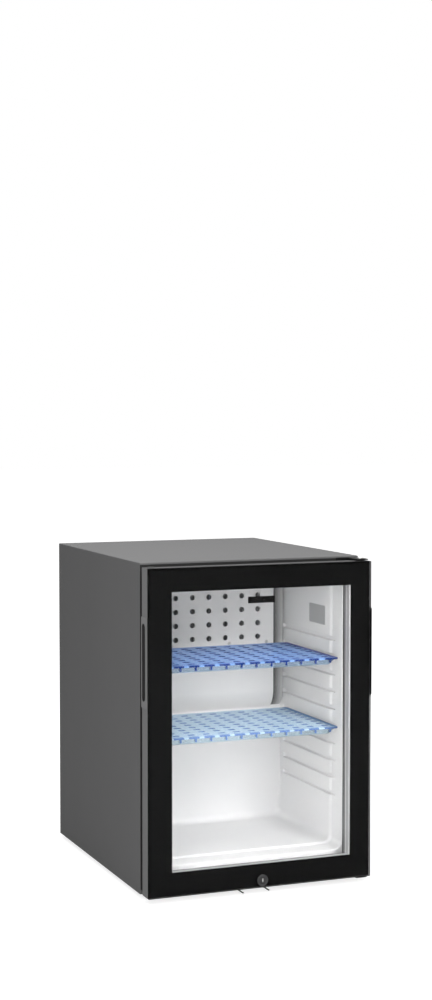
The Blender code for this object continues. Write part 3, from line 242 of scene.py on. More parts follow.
def carve(piece, solids, operation="DIFFERENCE"):
    """Cut shapes out of a piece, or join them on, and keep only the result."""
    helpers = []
    for bm in solids:
        mesh = bpy.data.meshes.new("carving")
        bm.to_mesh(mesh)
        bm.free()
        helper = bpy.data.objects.new("carving", mesh)
        bpy.context.scene.collection.objects.link(helper)
        step = piece.modifiers.new("carving", "BOOLEAN")
        step.operation = operation
        step.solver = "EXACT"
        step.object = helper
        helpers.append(helper)
    bpy.context.view_layer.update()
    graph = bpy.context.evaluated_depsgraph_get()
    result = bpy.data.meshes.new_from_object(piece.evaluated_get(graph))
    piece.modifiers.clear()
    material = piece.data.materials[0]
    piece.data = result
    result.materials.clear()
    result.materials.append(material)
    result.shade_smooth()
    result.set_sharp_from_angle(angle=math.radians(35))
    for helper in helpers:
        bpy.data.objects.remove(helper)
    return keep_flats_flat(piece)


def slab(low, high, radius=0.0, axis=None, segments=4, soften=None):
    """A box, with the edges along one axis rounded, or all; soften is how the others are rounded."""
    low, high = Vector(low), Vector(high)
    bm = bmesh.new()
    size = Matrix.Diagonal((*(high - low), 1.0))
    bmesh.ops.create_cube(bm, size=1.0, matrix=Matrix.Translation((low + high) / 2) @ size)
    if radius:
        edges = [edge for edge in bm.edges if axis is None
                 or abs((edge.verts[0].co - edge.verts[1].co)[axis]) > 1e-6]
        bmesh.ops.bevel(bm, geom=edges, offset=radius, segments=segments, profile=0.5, affect="EDGES",
                        clamp_overlap=True, material=-1)
    return round_folds(bm, *soften, sharper_than=60) if soften else bm


def gather(parts):
    """Several shapes in one bmesh."""
    whole = bmesh.new()
    for part in parts:
        mesh = bpy.data.meshes.new("passing")
        part.to_mesh(mesh)
        part.free()
        whole.from_mesh(mesh)
        bpy.data.meshes.remove(mesh)
    return whole


def along(direction):
    """The turn that lays the Z axis along a direction."""
    return Vector(direction).to_track_quat("Z", "Y").to_matrix().to_4x4()


def rod(start, end, radius, sides=32):
    """A round bar or a hole between two points."""
    bm = bmesh.new()
    start, end = Vector(start), Vector(end)
    bmesh.ops.create_cone(bm, cap_ends=True, segments=sides, radius1=radius, radius2=radius,
                          depth=(end - start).length,
                          matrix=Matrix.Translation((start + end) / 2) @ along(end - start))
    return bm


black_paint = finish("black_sheet_paint", 0.010, 0.6, grain=1400, specular=0.1)
base_low, base_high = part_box("base_panel")
base_line = [(base_high.y, base_low.z + 0.012), (base_high.y, base_low.z), (base_low.y, base_low.z),
             (base_low.y, base_low.z + 0.023)]
base_skin = face_towards(bent_sheet(base_line, base_low.x, base_high.x, 0.0015), (0, 0, -1))
base = give_wall(put("base_sheet", base_skin, black_paint, "base_panel"), 0.001)
slot_y = (0.1108 + base_high.y) / 2
slot_half_width, slot_half_length = 0.007, 0.045
carve(base, [gather(slab((x - slot_half_width, slot_y - slot_half_length, base_low.z - 0.002),
                         (x + slot_half_width, slot_y + slot_half_length, base_low.z + 0.004),
                         0.0068, axis=2, segments=6) for x in ((i - 3.5) * 0.036 for i in range(8)))])


# The feet. Four turned rubber pads with a grip ring are pressed into the base near its corners,
# so the case stands clear of the floor and air can reach the slots.

def turned(profile, centre, axis, sides=48):
    """Spin an outline of (radius, height) points; it starts and ends on the axis or closes itself."""
    bm = bmesh.new()
    edges = open_line(bm, [(radius, 0, height) for radius, height in profile])
    bmesh.ops.spin(bm, geom=list(bm.verts) + edges, cent=(0, 0, 0), axis=(0, 0, 1), angle=2 * math.pi,
                   steps=sides, use_merge=True, use_duplicate=False)
    bmesh.ops.remove_doubles(bm, verts=bm.verts, dist=1e-6)
    bmesh.ops.transform(bm, matrix=Matrix.Translation(centre) @ along(axis), verts=bm.verts)
    bmesh.ops.recalc_face_normals(bm, faces=bm.faces)
    return bm


foot_rubber = finish("foot_rubber", 0.022, 0.7, grain=900, height=0.00003, mottle=0.2)
for corner in ("front_left_foot", "front_right_foot", "rear_left_foot", "rear_right_foot"):
    foot_low, foot_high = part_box(corner)
    centre = (foot_low + foot_high) / 2
    outline = [(0, 0.0004), (0.0095, 0.0004), (0.0099, 0), (0.0128, 0), (0.0138, 0.0006), (0.014, 0.0014),
               (0.0138, 0.0026), (0.0129, 0.0030), (0.0129, 0.0036), (0.0126, 0.0042), (0.0113, 0.0070),
               (0.0108, foot_high.z), (0, foot_high.z)]
    put(corner + "_pad", turned(outline, (centre.x, centre.y, 0), (0, 0, 1)), foot_rubber,
        corner)


# The insulation foam. Polyurethane is foamed between the liner and the sheets and sticks to both.
# Only its colour at the rim of a hole could ever be seen.

foam = finish("polyurethane_foam", (0.72, 0.62, 0.38), 0.95, grain=260, height=0.0003, mottle=0.3)
foam_low, foam_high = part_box("insulation_foam")
fill = put("foam_fill", slab(foam_low, foam_high), foam, "insulation_foam")
carve(fill, [slab((-0.1752, foam_low.y - 0.01, 0.0458), (0.1752, 0.0550, 0.5262), 0.012, axis=1)])


# The back panel. A galvanised steel sheet behind the foam, to which the cooling unit is fixed.
# Two pressed beads stiffen it, and the pipes pass through it in sealed holes.

def dress(node, material):
    """A CAD node whose shape is right keeps it, and gets this finish."""
    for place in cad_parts[node].material_slots:
        place.material = material


galvanised = finish("galvanised_steel", (0.42, 0.43, 0.44), 0.42, grain=160, mottle=0.35, metallic=0.85)
dress("back_panel", galvanised)
panel_low, panel_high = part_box("back_panel")
for number, bead_z in enumerate((panel_low.z + 0.075, panel_high.z - 0.115)):
    bead = slab((-0.178, panel_high.y - 0.0005, bead_z - 0.004),
                (0.178, panel_high.y + 0.0018, bead_z + 0.004), 0.0017, segments=3)
    put(f"back_panel_bead_{number}", bead, galvanised)


# The inner liner. A sheet of white polystyrene is drawn into a deep box with round corners, ten shelf
# grooves in each side wall and a wider step at the mouth. Its rim lies on the case's front.

LINER_HALF = 0.167
LINER_LOW = 0.054
LINER_HIGH = 0.518
LINER_BACK = 0.0525
LINER_FRONT = -0.2045
GROOVE_LOWEST = 0.141
GROOVE_PITCH = 0.0302
CORNER = 0.012


def liner_outline(grow, groove_depth, radius):
    """The wall's line round the cavity, anticlockwise from the bottom right corner."""
    half, low, high = LINER_HALF + grow, LINER_LOW - grow, LINER_HIGH + grow
    groove_shape = ((-0.0052, 0.0), (-0.0045, 0.10), (-0.0040, 0.42), (-0.0034, 0.80), (-0.0024, 0.96),
                    (0.0, 1.0), (0.0024, 0.97), (0.0032, 0.84), (0.0037, 0.5), (0.0041, 0.12), (0.0050, 0.0))
    side = [(half, low + radius * 1.4)]
    side += [(max(half, LINER_HALF + groove_depth * share), GROOVE_LOWEST + level * GROOVE_PITCH + offset)
             for level in range(10) for offset, share in groove_shape]
    side.append((half, high - radius * 1.4))

    def corner(x, z, start, steps=8):
        turns = [start + math.pi / 2 * step / steps for step in range(steps + 1)]
        return [(x + radius * math.cos(turn), z + radius * math.sin(turn)) for turn in turns]

    line = corner(half - radius, low + radius, -math.pi / 2) + side
    line += corner(half - radius, high - radius, 0)
    line += corner(-half + radius, high - radius, math.pi / 2)
    line += [(-x, z) for x, z in reversed(side)]
    return line + corner(-half + radius, low + radius, math.pi)


def drawn_liner():
    """Outlines from the rim to the rear wall, joined one to the next."""
    mouth, groove, lip, fillet = 0.003, 0.0057, 0.0018, 0.0115
    rim_half, rim_low, rim_high = 0.1757, 0.0313, 0.5357
    middle, rim_middle = (LINER_LOW + LINER_HIGH) / 2, (rim_low + rim_high) / 2
    stretch_x = rim_half / (LINER_HALF + mouth)
    stretch_z = (rim_high - rim_low) / (LINER_HIGH - LINER_LOW + 2 * mouth)
    loops = [(LINER_FRONT, [(x * stretch_x, rim_middle + (z - middle) * stretch_z)
                            for x, z in liner_outline(mouth, 0, 0.014)])]
    for step in range(4):
        turn = math.pi / 2 * step / 3
        loops.append((LINER_FRONT + lip * (1 - math.cos(turn)),
                      liner_outline(mouth + lip * (1 - math.sin(turn)), 0, 0.014)))
    for step in range(5):
        share = step / 4
        loops.append((LINER_FRONT + 0.0265 + 0.004 * share,
                      liner_outline(mouth, groove * math.sqrt(1 - (1 - share) ** 2), 0.013)))
    step_start, step_length = LINER_FRONT + 0.0375, 0.009
    for step in range(9):
        share = step / 8
        ease = share * share * (3 - 2 * share)
        loops.append((step_start + step_length * share, liner_outline(mouth * (1 - ease), groove, CORNER)))
    groove_end = LINER_BACK - 0.012
    loops.append((groove_end - 0.055, liner_outline(0, groove, CORNER)))
    for step in range(7):
        share = step / 6
        loops.append((groove_end - 0.008 * (1 - share),
                      liner_outline(0, groove * math.sqrt(max(0.0, 1 - share * share)), CORNER)))
    for step in range(8):
        turn = math.pi / 2 * step / 7
        inset = fillet * (1 - math.cos(turn))
        loops.append((LINER_BACK - fillet * (1 - math.sin(turn)),
                      liner_outline(-inset, 0, max(CORNER - inset, 0.0006))))

    bm = bmesh.new()
    y, line = loops[0]
    verts = [bm.verts.new((x, y, z)) for x, z in line]
    edges = [bm.edges.new((verts[i - 1], verts[i])) for i in range(len(verts))]
    ring = {vert: i for i, vert in enumerate(verts)}
    for y, line in loops[1:]:
        made = bmesh.ops.extrude_edge_only(bm, edges=edges)
        grown = {}
        for vert in new_verts(made):
            for spoke in vert.link_edges:
                if spoke.other_vert(vert) in ring:
                    grown[vert] = ring[spoke.other_vert(vert)]
        for vert, i in grown.items():
            vert.co = Vector((line[i][0], y, line[i][1]))
        ring = grown
        edges = new_edges(made)
    bmesh.ops.contextual_create(bm, geom=edges)
    bmesh.ops.recalc_face_normals(bm, faces=bm.faces)
    return face_towards(bm, (0, -1, 0))


liner_plastic = finish("white_drawn_polystyrene", 0.74, 0.28, grain=700, height=0.000006, mottle=0.03)
give_wall(put("drawn_liner", drawn_liner(), liner_plastic, "inner_liner"), 0.0018)


# The rating plate's bare place. A thin plate of grey foil, left blank, is stuck to the liner's right
# wall near the top.

plate_foil = finish("bare_grey_foil", 0.38, 0.5, grain=500, height=0.000004, mottle=0.25)
put("bare_side_plate", slab((0.1664, -0.141, 0.4335), (0.16705, -0.0765, 0.467), 0.0015, axis=0),
    plate_foil)


# The evaporator. A comb of aluminium fins cools the air behind the perforated cover, and a white
# plastic trough under it catches the water that drips off.

# The fins' aluminium is given a dark grey. This is painted shade for the dark space seen through the cover's
# holes, and the condenser fins share it.
fin_metal_painted_shade = finish("pressed_aluminium_painted_shade", (0.30, 0.305, 0.31), 0.45, grain=900, height=0.000006, metallic=0.7)
dress("evaporator_fins", fin_metal_painted_shade)
trough_plastic = finish("white_moulded_plastic", (0.74, 0.74, 0.73), 0.4, mottle=0.05)
dress("drip_channel", trough_plastic)


# The evaporator cover. A white painted sheet with four rows of round holes hangs in front of the
# fins. Its top is turned back to the wall and its lower end is bent back like a chute, so drops run
# into the trough.

cover_low, cover_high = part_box("evaporator_cover")
cover_paint = finish("white_sheet_paint", 0.74, 0.34, grain=1300, height=0.000008, mottle=0.04)
chute_rise, chute_reach = 0.034, cover_high.y - 0.001 - cover_low.y
chute_turn = 2 * math.atan2(chute_reach, chute_rise)
chute_bend = chute_rise / math.sin(chute_turn)
chute = [(cover_low.y + chute_bend * (1 - math.cos(turn)),
          cover_low.z + chute_rise - chute_bend * math.sin(turn))
         for turn in (chute_turn * step / 8 for step in range(8, -1, -1))]
cover_skin = bent_sheet(chute + [(cover_low.y, cover_high.z), (cover_high.y, cover_high.z)],
                        cover_low.x, cover_high.x, 0.003, segments=6)
cover = put("perforated_cover", face_towards(cover_skin, (0, -1, 0)), cover_paint,
            "evaporator_cover")
give_wall(cover, 0.0012)
holes = [((i - 3.5) * 0.0322, cover_high.z - 0.0345 - row * 0.0253) for row in range(4) for i in range(8)]
carve(cover, [gather([rod((x, cover_low.y - 0.003, z), (x, cover_low.y + 0.004, z), 0.005, sides=28)
                      for x, z in holes])])


# The cover's side strips. Dark strips close the gap between the cover's sides and the liner's walls, and
# their dark colour is painted shade for the shadowed gap behind the cover's edges. They grow paler towards
# the walls as the painted shade fades.

def prism(outline, low, high, axis):
    """A flat outline pushed along one axis."""
    bm = bmesh.new()

    def spot(first, second):
        place = [first, second]
        place.insert(axis, low)
        return Vector(place)

    face = bm.faces.new([bm.verts.new(spot(first, second)) for first, second in outline])
    made = bmesh.ops.extrude_face_region(bm, geom=[face])
    push = Vector()
    push[axis] = high - low
    bmesh.ops.translate(bm, verts=new_verts(made), vec=push)
    bmesh.ops.holes_fill(bm, edges=bm.edges)
    bmesh.ops.recalc_face_normals(bm, faces=bm.faces)
    return bm


# The strips' dark colour is painted shade.
shadow_strip_finish = finish("painted_shadow_strip", 0.1, 0.9, grain=700, height=0.0001, mottle=0.3, specular=0.1)
shadow_strip_tree = shadow_strip_finish.node_tree
shadow_strip_place = shadow_strip_tree.nodes.new("ShaderNodeTexCoord")
shadow_strip_split = shadow_strip_tree.nodes.new("ShaderNodeSeparateXYZ")
# Painted shade: darkest at the cover's edge, paler towards the walls.
painted_shade_fade = shadow_strip_tree.nodes.new("ShaderNodeMapRange")
fill_in(painted_shade_fade, {"From Min": 0.1450, "From Max": 0.1640, "To Min": 0.05, "To Max": 0.50})
shadow_strip_tree.links.new(shadow_strip_place.outputs["Object"], shadow_strip_split.inputs["Vector"])
shadow_strip_aside = arithmetic(shadow_strip_tree, "ABSOLUTE", shadow_strip_split.outputs["X"], 0.0)
shadow_strip_tree.links.new(shadow_strip_aside, painted_shade_fade.inputs["Value"])
shadow_strip_tree.links.new(painted_shade_fade.outputs["Result"], shadow_strip_tree.nodes["Principled BSDF"].inputs["Base Color"])

strip_set_back = 0.004
strip_line = [(y + strip_set_back, z) for y, z in chute if y + strip_set_back < cover_high.y]
strip_line += [(cover_low.y + strip_set_back, cover_high.z - 0.006), (cover_high.y, cover_high.z - 0.006),
               (cover_high.y, strip_line[0][1])]
for side, (near, far) in (("left", (-0.1645, -0.140)), ("right", (0.140, 0.1645))):
    put(f"cover_{side}_strip", prism(strip_line, near, far, 0), shadow_strip_finish)


# The cover's screws. Four pan head screws with a cross recess, headed from steel wire and zinc
# plated, hold the cover to the liner's back wall.

zinc = finish("zinc_plated_steel", (0.58, 0.58, 0.56), 0.3, grain=700, height=0.000004, mottle=0.2,
              metallic=1.0)


def fit_screw(name, seat, direction, sizes, node=None, body="cabinet"):
    """A pan head screw whose head stands on its seat, with a cross recess cut into the crown."""
    head_radius, head_height, shank_radius, length = sizes
    outline = [(0, -head_height)]
    for turn in (math.pi / 2 * step / 5 for step in range(1, 6)):
        outline.append((head_radius * math.sin(turn), -head_height * (0.35 + 0.65 * math.cos(turn))))
    outline += [(head_radius, 0), (shank_radius, 0), (shank_radius, length), (0, length)]
    screw = put(name, turned(outline, seat, direction, sides=24), zinc, node, body)
    arm, width = head_radius * 0.55, head_radius * 0.13
    cross = [slab((-x, -y, -head_height * 2), (x, y, -head_height * 0.45))
             for x, y in ((arm, width), (width, arm))]
    for bar in cross:
        bmesh.ops.transform(bar, matrix=Matrix.Translation(seat) @ along(direction), verts=bar.verts)
    carve(screw, cross)


for number in range(1, 5):
    screw_low, screw_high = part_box(f"cover_screw_{number}")
    centre = (screw_low + screw_high) / 2
    fit_screw(f"cover_fixing_{number}", Vector((centre.x, cover_low.y - 0.0003, centre.z)), (0, 1, 0),
              (0.0032, 0.0015, 0.0017, 0.0028), f"cover_screw_{number}")


# The interior lamp. A small white housing clips to the ceiling on the right, and its frosted lens
# snaps in from below.

lens_plastic = finish("frosted_lens_plastic", (0.86, 0.86, 0.84), 0.35, grain=1500, height=0.00002)
for name, node, material, slot, rim in (
        ("lamp_body", "lamp_housing", trough_plastic, "liner", (0.0008, 3)),
        ("lamp_diffuser", "lamp_lens", lens_plastic, "lens", (0.0022, 4))):
    put(name, slab(*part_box(node), 0.0065, axis=2, segments=8, soften=rim), material, node)


# The shelves. Two injection moulded plates of clear blue plastic run in the liner's grooves. Rows of
# slots let the cold air fall, wider notches stand along the front, and a ribbed lip is turned down.

def one_of_rays(tree, *kinds):
    """1 for a ray of one of these kinds, and 0 for the others."""
    path = tree.nodes.new("ShaderNodeLightPath")
    chosen = path.outputs[f"Is {kinds[0]} Ray"]
    for kind in kinds[1:]:
        chosen = arithmetic(tree, "MAXIMUM", chosen, path.outputs[f"Is {kind} Ray"])
    return chosen


def let_pass(tree, colour, *kinds):
    """Rays of these kinds pass straight through, a little dimmed, to light what lies behind."""
    clear = tree.nodes.new("ShaderNodeBsdfTransparent")
    fill_in(clear, {"Color": (*colour, 1.0)})
    blend = tree.nodes.new("ShaderNodeMixShader")
    tree.links.new(one_of_rays(tree, *kinds), blend.inputs["Fac"])
    tree.links.new(tree.nodes["Principled BSDF"].outputs["BSDF"], blend.inputs[1])
    tree.links.new(clear.outputs["BSDF"], blend.inputs[2])
    tree.links.new(blend.outputs["Shader"], tree.nodes["Material Output"].inputs["Surface"])


def shelf_plastic(name, colour, transmission):
    """Clear tinted plastic."""
    material = finish(name, colour, 0.2, grain=600, mottle=0.1, specular=0.15)
    tree = material.node_tree
    fill_in(tree.nodes["Principled BSDF"], {"Transmission Weight": transmission, "IOR": 1.12})
    let_pass(tree, (0.70, 0.71, 0.72), "Shadow", "Diffuse")
    return material


# The upper shelf's deeper tint and the lower shelf's paler one paint the weaker and the stronger light behind
# them. The darker edge copies are painted shade on the upright faces of slots, notches and stems.
shelf_tints = {
    "upper_shelf": (("deep_blue_face", (0.26, 0.45, 0.86), 0.30),
                    ("deep_blue_edge_painted_shade", (0.014, 0.035, 0.17), 0.10),
                    ("deep_blue_margin", (0.09, 0.12, 0.38), 0.15),
                    ("deep_blue_thin_lip", (0.35, 0.45, 0.56), 0.80)),
    "lower_shelf": (("light_blue_face", (0.62, 0.81, 0.97), 0.40),
                    ("light_blue_edge_painted_shade", (0.09, 0.16, 0.35), 0.12),
                    ("light_blue_margin", (0.16, 0.29, 0.50), 0.20),
                    ("light_blue_thin_lip", (0.49, 0.60, 0.66), 0.80))}
FACE, SHADED_EDGE, MARGIN, THIN_LIP = range(4)
columns = [(column - 5.5) * 0.0277 for column in range(12)]
for node, tints in shelf_tints.items():
    shelf_low, shelf_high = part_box(node)
    plate_low, plate_high = shelf_high.z - 0.003, shelf_high.z
    front, rear, half, margin = shelf_low.y, shelf_high.y, shelf_high.x, 0.1595
    plastics = [shelf_plastic(*tint) for tint in tints]
    plate = slab((-half, front, plate_low), (half, rear, plate_high), 0.005, axis=2, soften=(0.0005, 2))
    shelf = put(node + "_plate", plate, plastics[FACE], node, node)
    lip = prism([(-0.1505, shelf_low.z), (0.1505, shelf_low.z), (0.1625, plate_low + 0.0015),
                 (-0.1625, plate_low + 0.0015)], front + 0.0004, front + 0.0024, 1)
    stems = [slab((x + 0.0003, front, plate_low - 0.0058), (x + 0.0031, front + 0.0065, plate_low + 0.001))
             for x in columns]
    carve(shelf, [lip, gather(stems)], "UNION")
    cutters = [slab((x - 0.006, y - 0.004, plate_low - 0.006), (x + 0.006, y + 0.004, plate_low + 0.006),
                    0.0012, axis=2, segments=2)
               for x in columns for y in (front + 0.0198 + row * 0.0222 for row in range(9))]
    for left, right in [(x - 0.0110, x + 0.0080) for x in columns[:-1]] + [(0.1435, half)]:
        cutters += [slab((left, front - 0.001, plate_low + 0.0001),
                         (right, front + 0.0004, plate_high + 0.001)),
                    slab((left, front + 0.0025, plate_low - 0.0005),
                         (min(right, 0.157), front + 0.0065, plate_high + 0.001))]
    lines = [slab((side * margin - 0.0002, front + 0.0006, plate_high - 0.0002),
                  (side * margin + 0.0002, rear + 0.001, plate_high + 0.001)) for side in (-1, 1)]
    carve(shelf, [gather(cutters), gather(lines)])
    for plastic in plastics[SHADED_EDGE:]:
        shelf.data.materials.append(plastic)
    # Upright cut faces take the painted shade copy.
    for face in shelf.data.polygons:
        x, y, z = face.center
        upright = abs(face.normal.z) < 0.7
        if z < plate_low + 0.0001:
            in_stem = any(place < x < place + 0.0034 for place in columns)
            if y < front + 0.007 and (upright or in_stem):
                face.material_index = SHADED_EDGE if in_stem else THIN_LIP
        elif abs(x) > margin:
            face.material_index = SHADED_EDGE if upright and y < front + 0.001 else MARGIN
        elif upright and front + 0.0002 < y < rear - 0.001:
            face.material_index = SHADED_EDGE


# The seal's seat. A thin black sheet lies on the case's front flange, where the magnetic seal closes against
# it. Its black is painted shade, darkening the gap between case and door. It stops short of the folds at the
# sides and the top.

film_half, film_top, film_foot = case_high.x - 0.0007, case_high.z - 0.0032, case_low.z + 0.007
film_front, film_back, film_gap = case_low.y - 0.0002, case_low.y - 0.00002, 0.0004
rim_low, rim_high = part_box("inner_liner")
# The sheet's black is painted shade for the gap between case and door.
painted_shade_black = finish("painted_shade_seat", 0.032, 0.6, height=0.000001, mottle=0.05, specular=0.05)
seat_film = put("seal_seat_painted_shade", slab((-film_half, film_front, film_foot), (film_half, film_back, film_top)),
                painted_shade_black)
carve(seat_film, [slab((rim_low.x - film_gap, film_front - 0.001, rim_low.z - film_gap),
                       (rim_high.x + film_gap, film_back + 0.001, rim_high.z + film_gap), 0.0142, axis=1,
                       segments=8)])


# The door frame. Four lengths of grey extruded plastic are mitred and welded at the corners, and the upward
# faces of the upper one take a darker copy of the plastic, which is painted shade. The panes are bonded into
# its front, and a slot in its back takes the seal's dart.

def softened_copy(node, radius, segments=2):
    """A CAD node's own solid, merged, with its sharp edges rounded."""
    bm = bmesh.new()
    bm.from_mesh(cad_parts[node].data)
    bmesh.ops.remove_doubles(bm, verts=bm.verts, dist=1e-6)
    bmesh.ops.dissolve_limit(bm, angle_limit=math.radians(0.5), verts=bm.verts, edges=bm.edges)
    return round_folds(bm, radius, segments)


frame_plastic = finish("grey_extruded_plastic", (0.205, 0.205, 0.206), 0.55, grain=1000, height=0.000008,
                       specular=0.03)
frame_top_shade_finish = finish("frame_top_painted_shade", (0.045, 0.045, 0.046), 0.5, grain=1000, height=0.000008, specular=0.03)
profile = put("door_frame_profile", softened_copy("door_frame", 0.0005), frame_plastic,
              "door_frame", "door")
# The upward faces at the top take the darker copy: painted shade.
profile.data.materials.append(frame_top_shade_finish)
for face in profile.data.polygons:
    if face.normal.z > 0.4 and face.center.z > 0.5530:
        face.material_index = 1


# The glazing. A full size toughened front pane and a smaller inner pane are bonded to an aluminium
# spacer. A black enamel is fired onto the front pane's rim and the border of its back, and hides
# frame and bond.

pane_glass, glass_tree, glass_shader = new_material("toughened_glass")
fill_in(glass_shader, {"Base Color": (0.99, 0.99, 0.99, 1.0), "Roughness": 0.0, "IOR": 1.08,
                       "Transmission Weight": 1.0})
let_pass(glass_tree, (0.97, 0.97, 0.97), "Shadow")
pane_low, pane_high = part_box("front_glass")
print_low, print_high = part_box("border_print")
lock_z, rim_width = 0.0244, 0.0012


def lock_hole(low, high):
    """The hole that the lock's barrel passes through, in a pane or a film."""
    return rod((0, low.y - 0.002, lock_z), (0, high.y + 0.002, lock_z), 0.0083, sides=48)


front_pane = put("front_pane", slab(pane_low, pane_high, 0.001, axis=1, segments=3, soften=(0.0005, 2)),
                 pane_glass, "front_glass", "door")
carve(front_pane, [lock_hole(pane_low, pane_high)])
enamel = finish("black_fired_enamel", 0.003, 0.4, height=0.000001, mottle=0.05, specular=0.0)
front_pane.data.materials.append(enamel)
for face in front_pane.data.polygons:
    x, y, z = face.center
    if abs(x) > pane_high.x - rim_width or not pane_low.z + rim_width < z < pane_high.z - rim_width:
        face.material_index = 1
inner_low, inner_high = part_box("inner_glass")
put("inner_pane", slab(inner_low, inner_high, 0.0005, segments=2), pane_glass, "inner_glass",
    "door")
band = put("fired_border", slab(print_low, print_high, 0.0025, axis=1, segments=6), enamel,
           "border_print", "door")
window = slab((-0.1592, print_low.y - 0.002, 0.0508), (0.1648, print_high.y + 0.002, 0.5142))
carve(band, [window, lock_hole(print_low, print_high)])
dress("glass_spacer", finish("mill_aluminium", 0.37, 0.5, grain=900, height=0.000004, metallic=0.25))


# The glazing bead. A pale plastic strip is pressed in behind the inner pane on all four sides and
# covers the frame's inner edge.

bead_plastic = finish("pale_bead_plastic", 0.72, 0.4, grain=900, height=0.000006, mottle=0.08)
bead_front, bead_rear, bead_inset, bead_wall = pane_high.y + 0.0152, -0.2287, 0.0052, 0.0006


def bead_block(inset, front, rear):
    """A block over the opening, this far inside the inner pane's edge."""
    half = inner_high.x - inset
    return slab((-half, front, inner_low.z + inset), (half, rear, inner_high.z - inset))


bead = put("glazing_bead", bead_block(bead_inset, bead_front, bead_rear), bead_plastic,
           body="door")
carve(bead, [bead_block(bead_inset + bead_wall, bead_front - 0.002, bead_rear + 0.002)])


# The badge. A small blank plate of black film with rounded ends is stuck to the front pane's inner
# side, at the top of the window.

badge_black = finish("black_badge_film", 0.006, 0.4, height=0.000001, mottle=0.05, specular=0.0)
badge = slab((-0.0244, pane_high.y + 0.0001, 0.4904), (0.0241, pane_high.y + 0.0007, 0.5016), 0.0008, axis=1)
put("blank_badge", badge, badge_black, body="door")


# The door seal. A black magnetic gasket of soft plastic runs all round the door. Its dart sits in
# the frame, a bellows waist lets it give, and the pocket against the case holds the magnet strip.

def mitred_ring(profile, half, low, high):
    """Run a closed outline of (inset, y) points round the door, with a mitre at each corner."""
    def spot(side, top, inset, y):
        return Vector((side * (half - inset), y, high - inset if top else low + inset))

    bm = bmesh.new()
    loop = [bm.verts.new(spot(-1, False, inset, y)) for inset, y in profile]
    edges = [bm.edges.new((loop[i - 1], loop[i])) for i in range(len(loop))]
    for side, top in ((1, False), (1, True), (-1, True), (-1, False)):
        made = bmesh.ops.extrude_edge_only(bm, edges=edges)
        for vert in new_verts(made):
            vert.co = spot(side, top, half - abs(vert.co.x), vert.co.y)
        edges = new_edges(made)
    bmesh.ops.remove_doubles(bm, verts=bm.verts, dist=1e-6)
    bmesh.ops.recalc_face_normals(bm, faces=bm.faces)
    return bm


def seal_outline():
    """The dart in the frame's slot, up the inner bellows and down the outer one."""
    root, face, inner, outer = -0.2192, -0.2048, 0.0315, 0.0185
    dart = [(0.0258, root), (0.0258, -0.2228), (0.0263, -0.2231), (0.0277, -0.2231), (0.0282, -0.2228),
            (0.0282, root)]
    side = [(0.0009, 0.0), (0.0002, 0.03), (0.0, 0.08), (0.0004, 0.13)]
    side += [(0.0036 * math.sin(math.pi * share) ** 0.7, 0.15 + 0.34 * share)
             for share in (step / 8 for step in range(9))]
    side += [(0.0, 0.52), (0.0, 0.90), (0.0004, 0.97), (0.0012, 1.0)]
    side = [(inset, root + (face - root) * share) for inset, share in side]
    return (dart + [(inner - inset, y) for inset, y in side]
            + [(outer + inset, y) for inset, y in reversed(side)])


seal_rubber = finish("black_soft_seal", 0.008, 0.7, grain=700, specular=0.1)
put("door_seal", mitred_ring(seal_outline(), 0.202, 0.0119, 0.554), seal_rubber, "door_gasket",
    "door", smooth_angle=50)


# The finger grips. A moulded cup is let into each upright edge of the door. Its thin flange lies on
# the frame, and four fingers fit into the slot; both sides have one because the door can be rehung.

black_plastic = finish("black_moulded_plastic", 0.014, 0.5, grain=900, height=0.000012, specular=0.2)
grip_plastic = finish("grey_moulded_grip", (0.230, 0.230, 0.231), 0.5, grain=900, specular=0.03)
painted_grip_shade = finish("grip_front_painted_shade", (0.040, 0.040, 0.041), 0.5, grain=900, specular=0.2)
SHADED_CUP, PAINTED_SHADE = 1, 2
for node, side in (("left_grip", -1), ("right_grip", 1)):
    grip_low, grip_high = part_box(node)
    centre = (grip_low.z + grip_high.z) / 2
    near, far = sorted((0.2023 * side, 0.2035 * side))
    flange = slab((near, grip_low.y, grip_low.z), (far, -0.2215, grip_high.z), 0.0024, axis=0, segments=5,
                  soften=(0.0005, 3))
    grip = put(node + "_moulding", flange, grip_plastic, node, "door")

    def stadium(outer_x, inner_x, grow):
        left, right = sorted((side * outer_x, side * inner_x))
        return slab((left, -0.24025 - grow, centre - 0.064 - grow),
                    (right, -0.22575 + grow, centre + 0.064 + grow), 0.0070 + grow, axis=0, segments=10)

    carve(grip, [stadium(0.2030, 0.1880, 0.0015)], "UNION")
    carve(grip, [stadium(0.2060, 0.1895, 0.0)])
    # The cup's inside faces are black and the flange's faces in front of the slot dark grey. Both are painted
    # shade in and at the slot.
    grip.data.materials.append(black_plastic)
    grip.data.materials.append(painted_grip_shade)
    for face in grip.data.polygons:
        if side * face.center.x < 0.2029:
            face.material_index = SHADED_CUP
        elif face.center.y < -0.2403:
            face.material_index = PAINTED_SHADE


# The hinges. Black painted steel angles are screwed to the case's front, above and below the door.
# A steel pin through each runs in a plastic bush in the door; unused holes are closed with plugs.

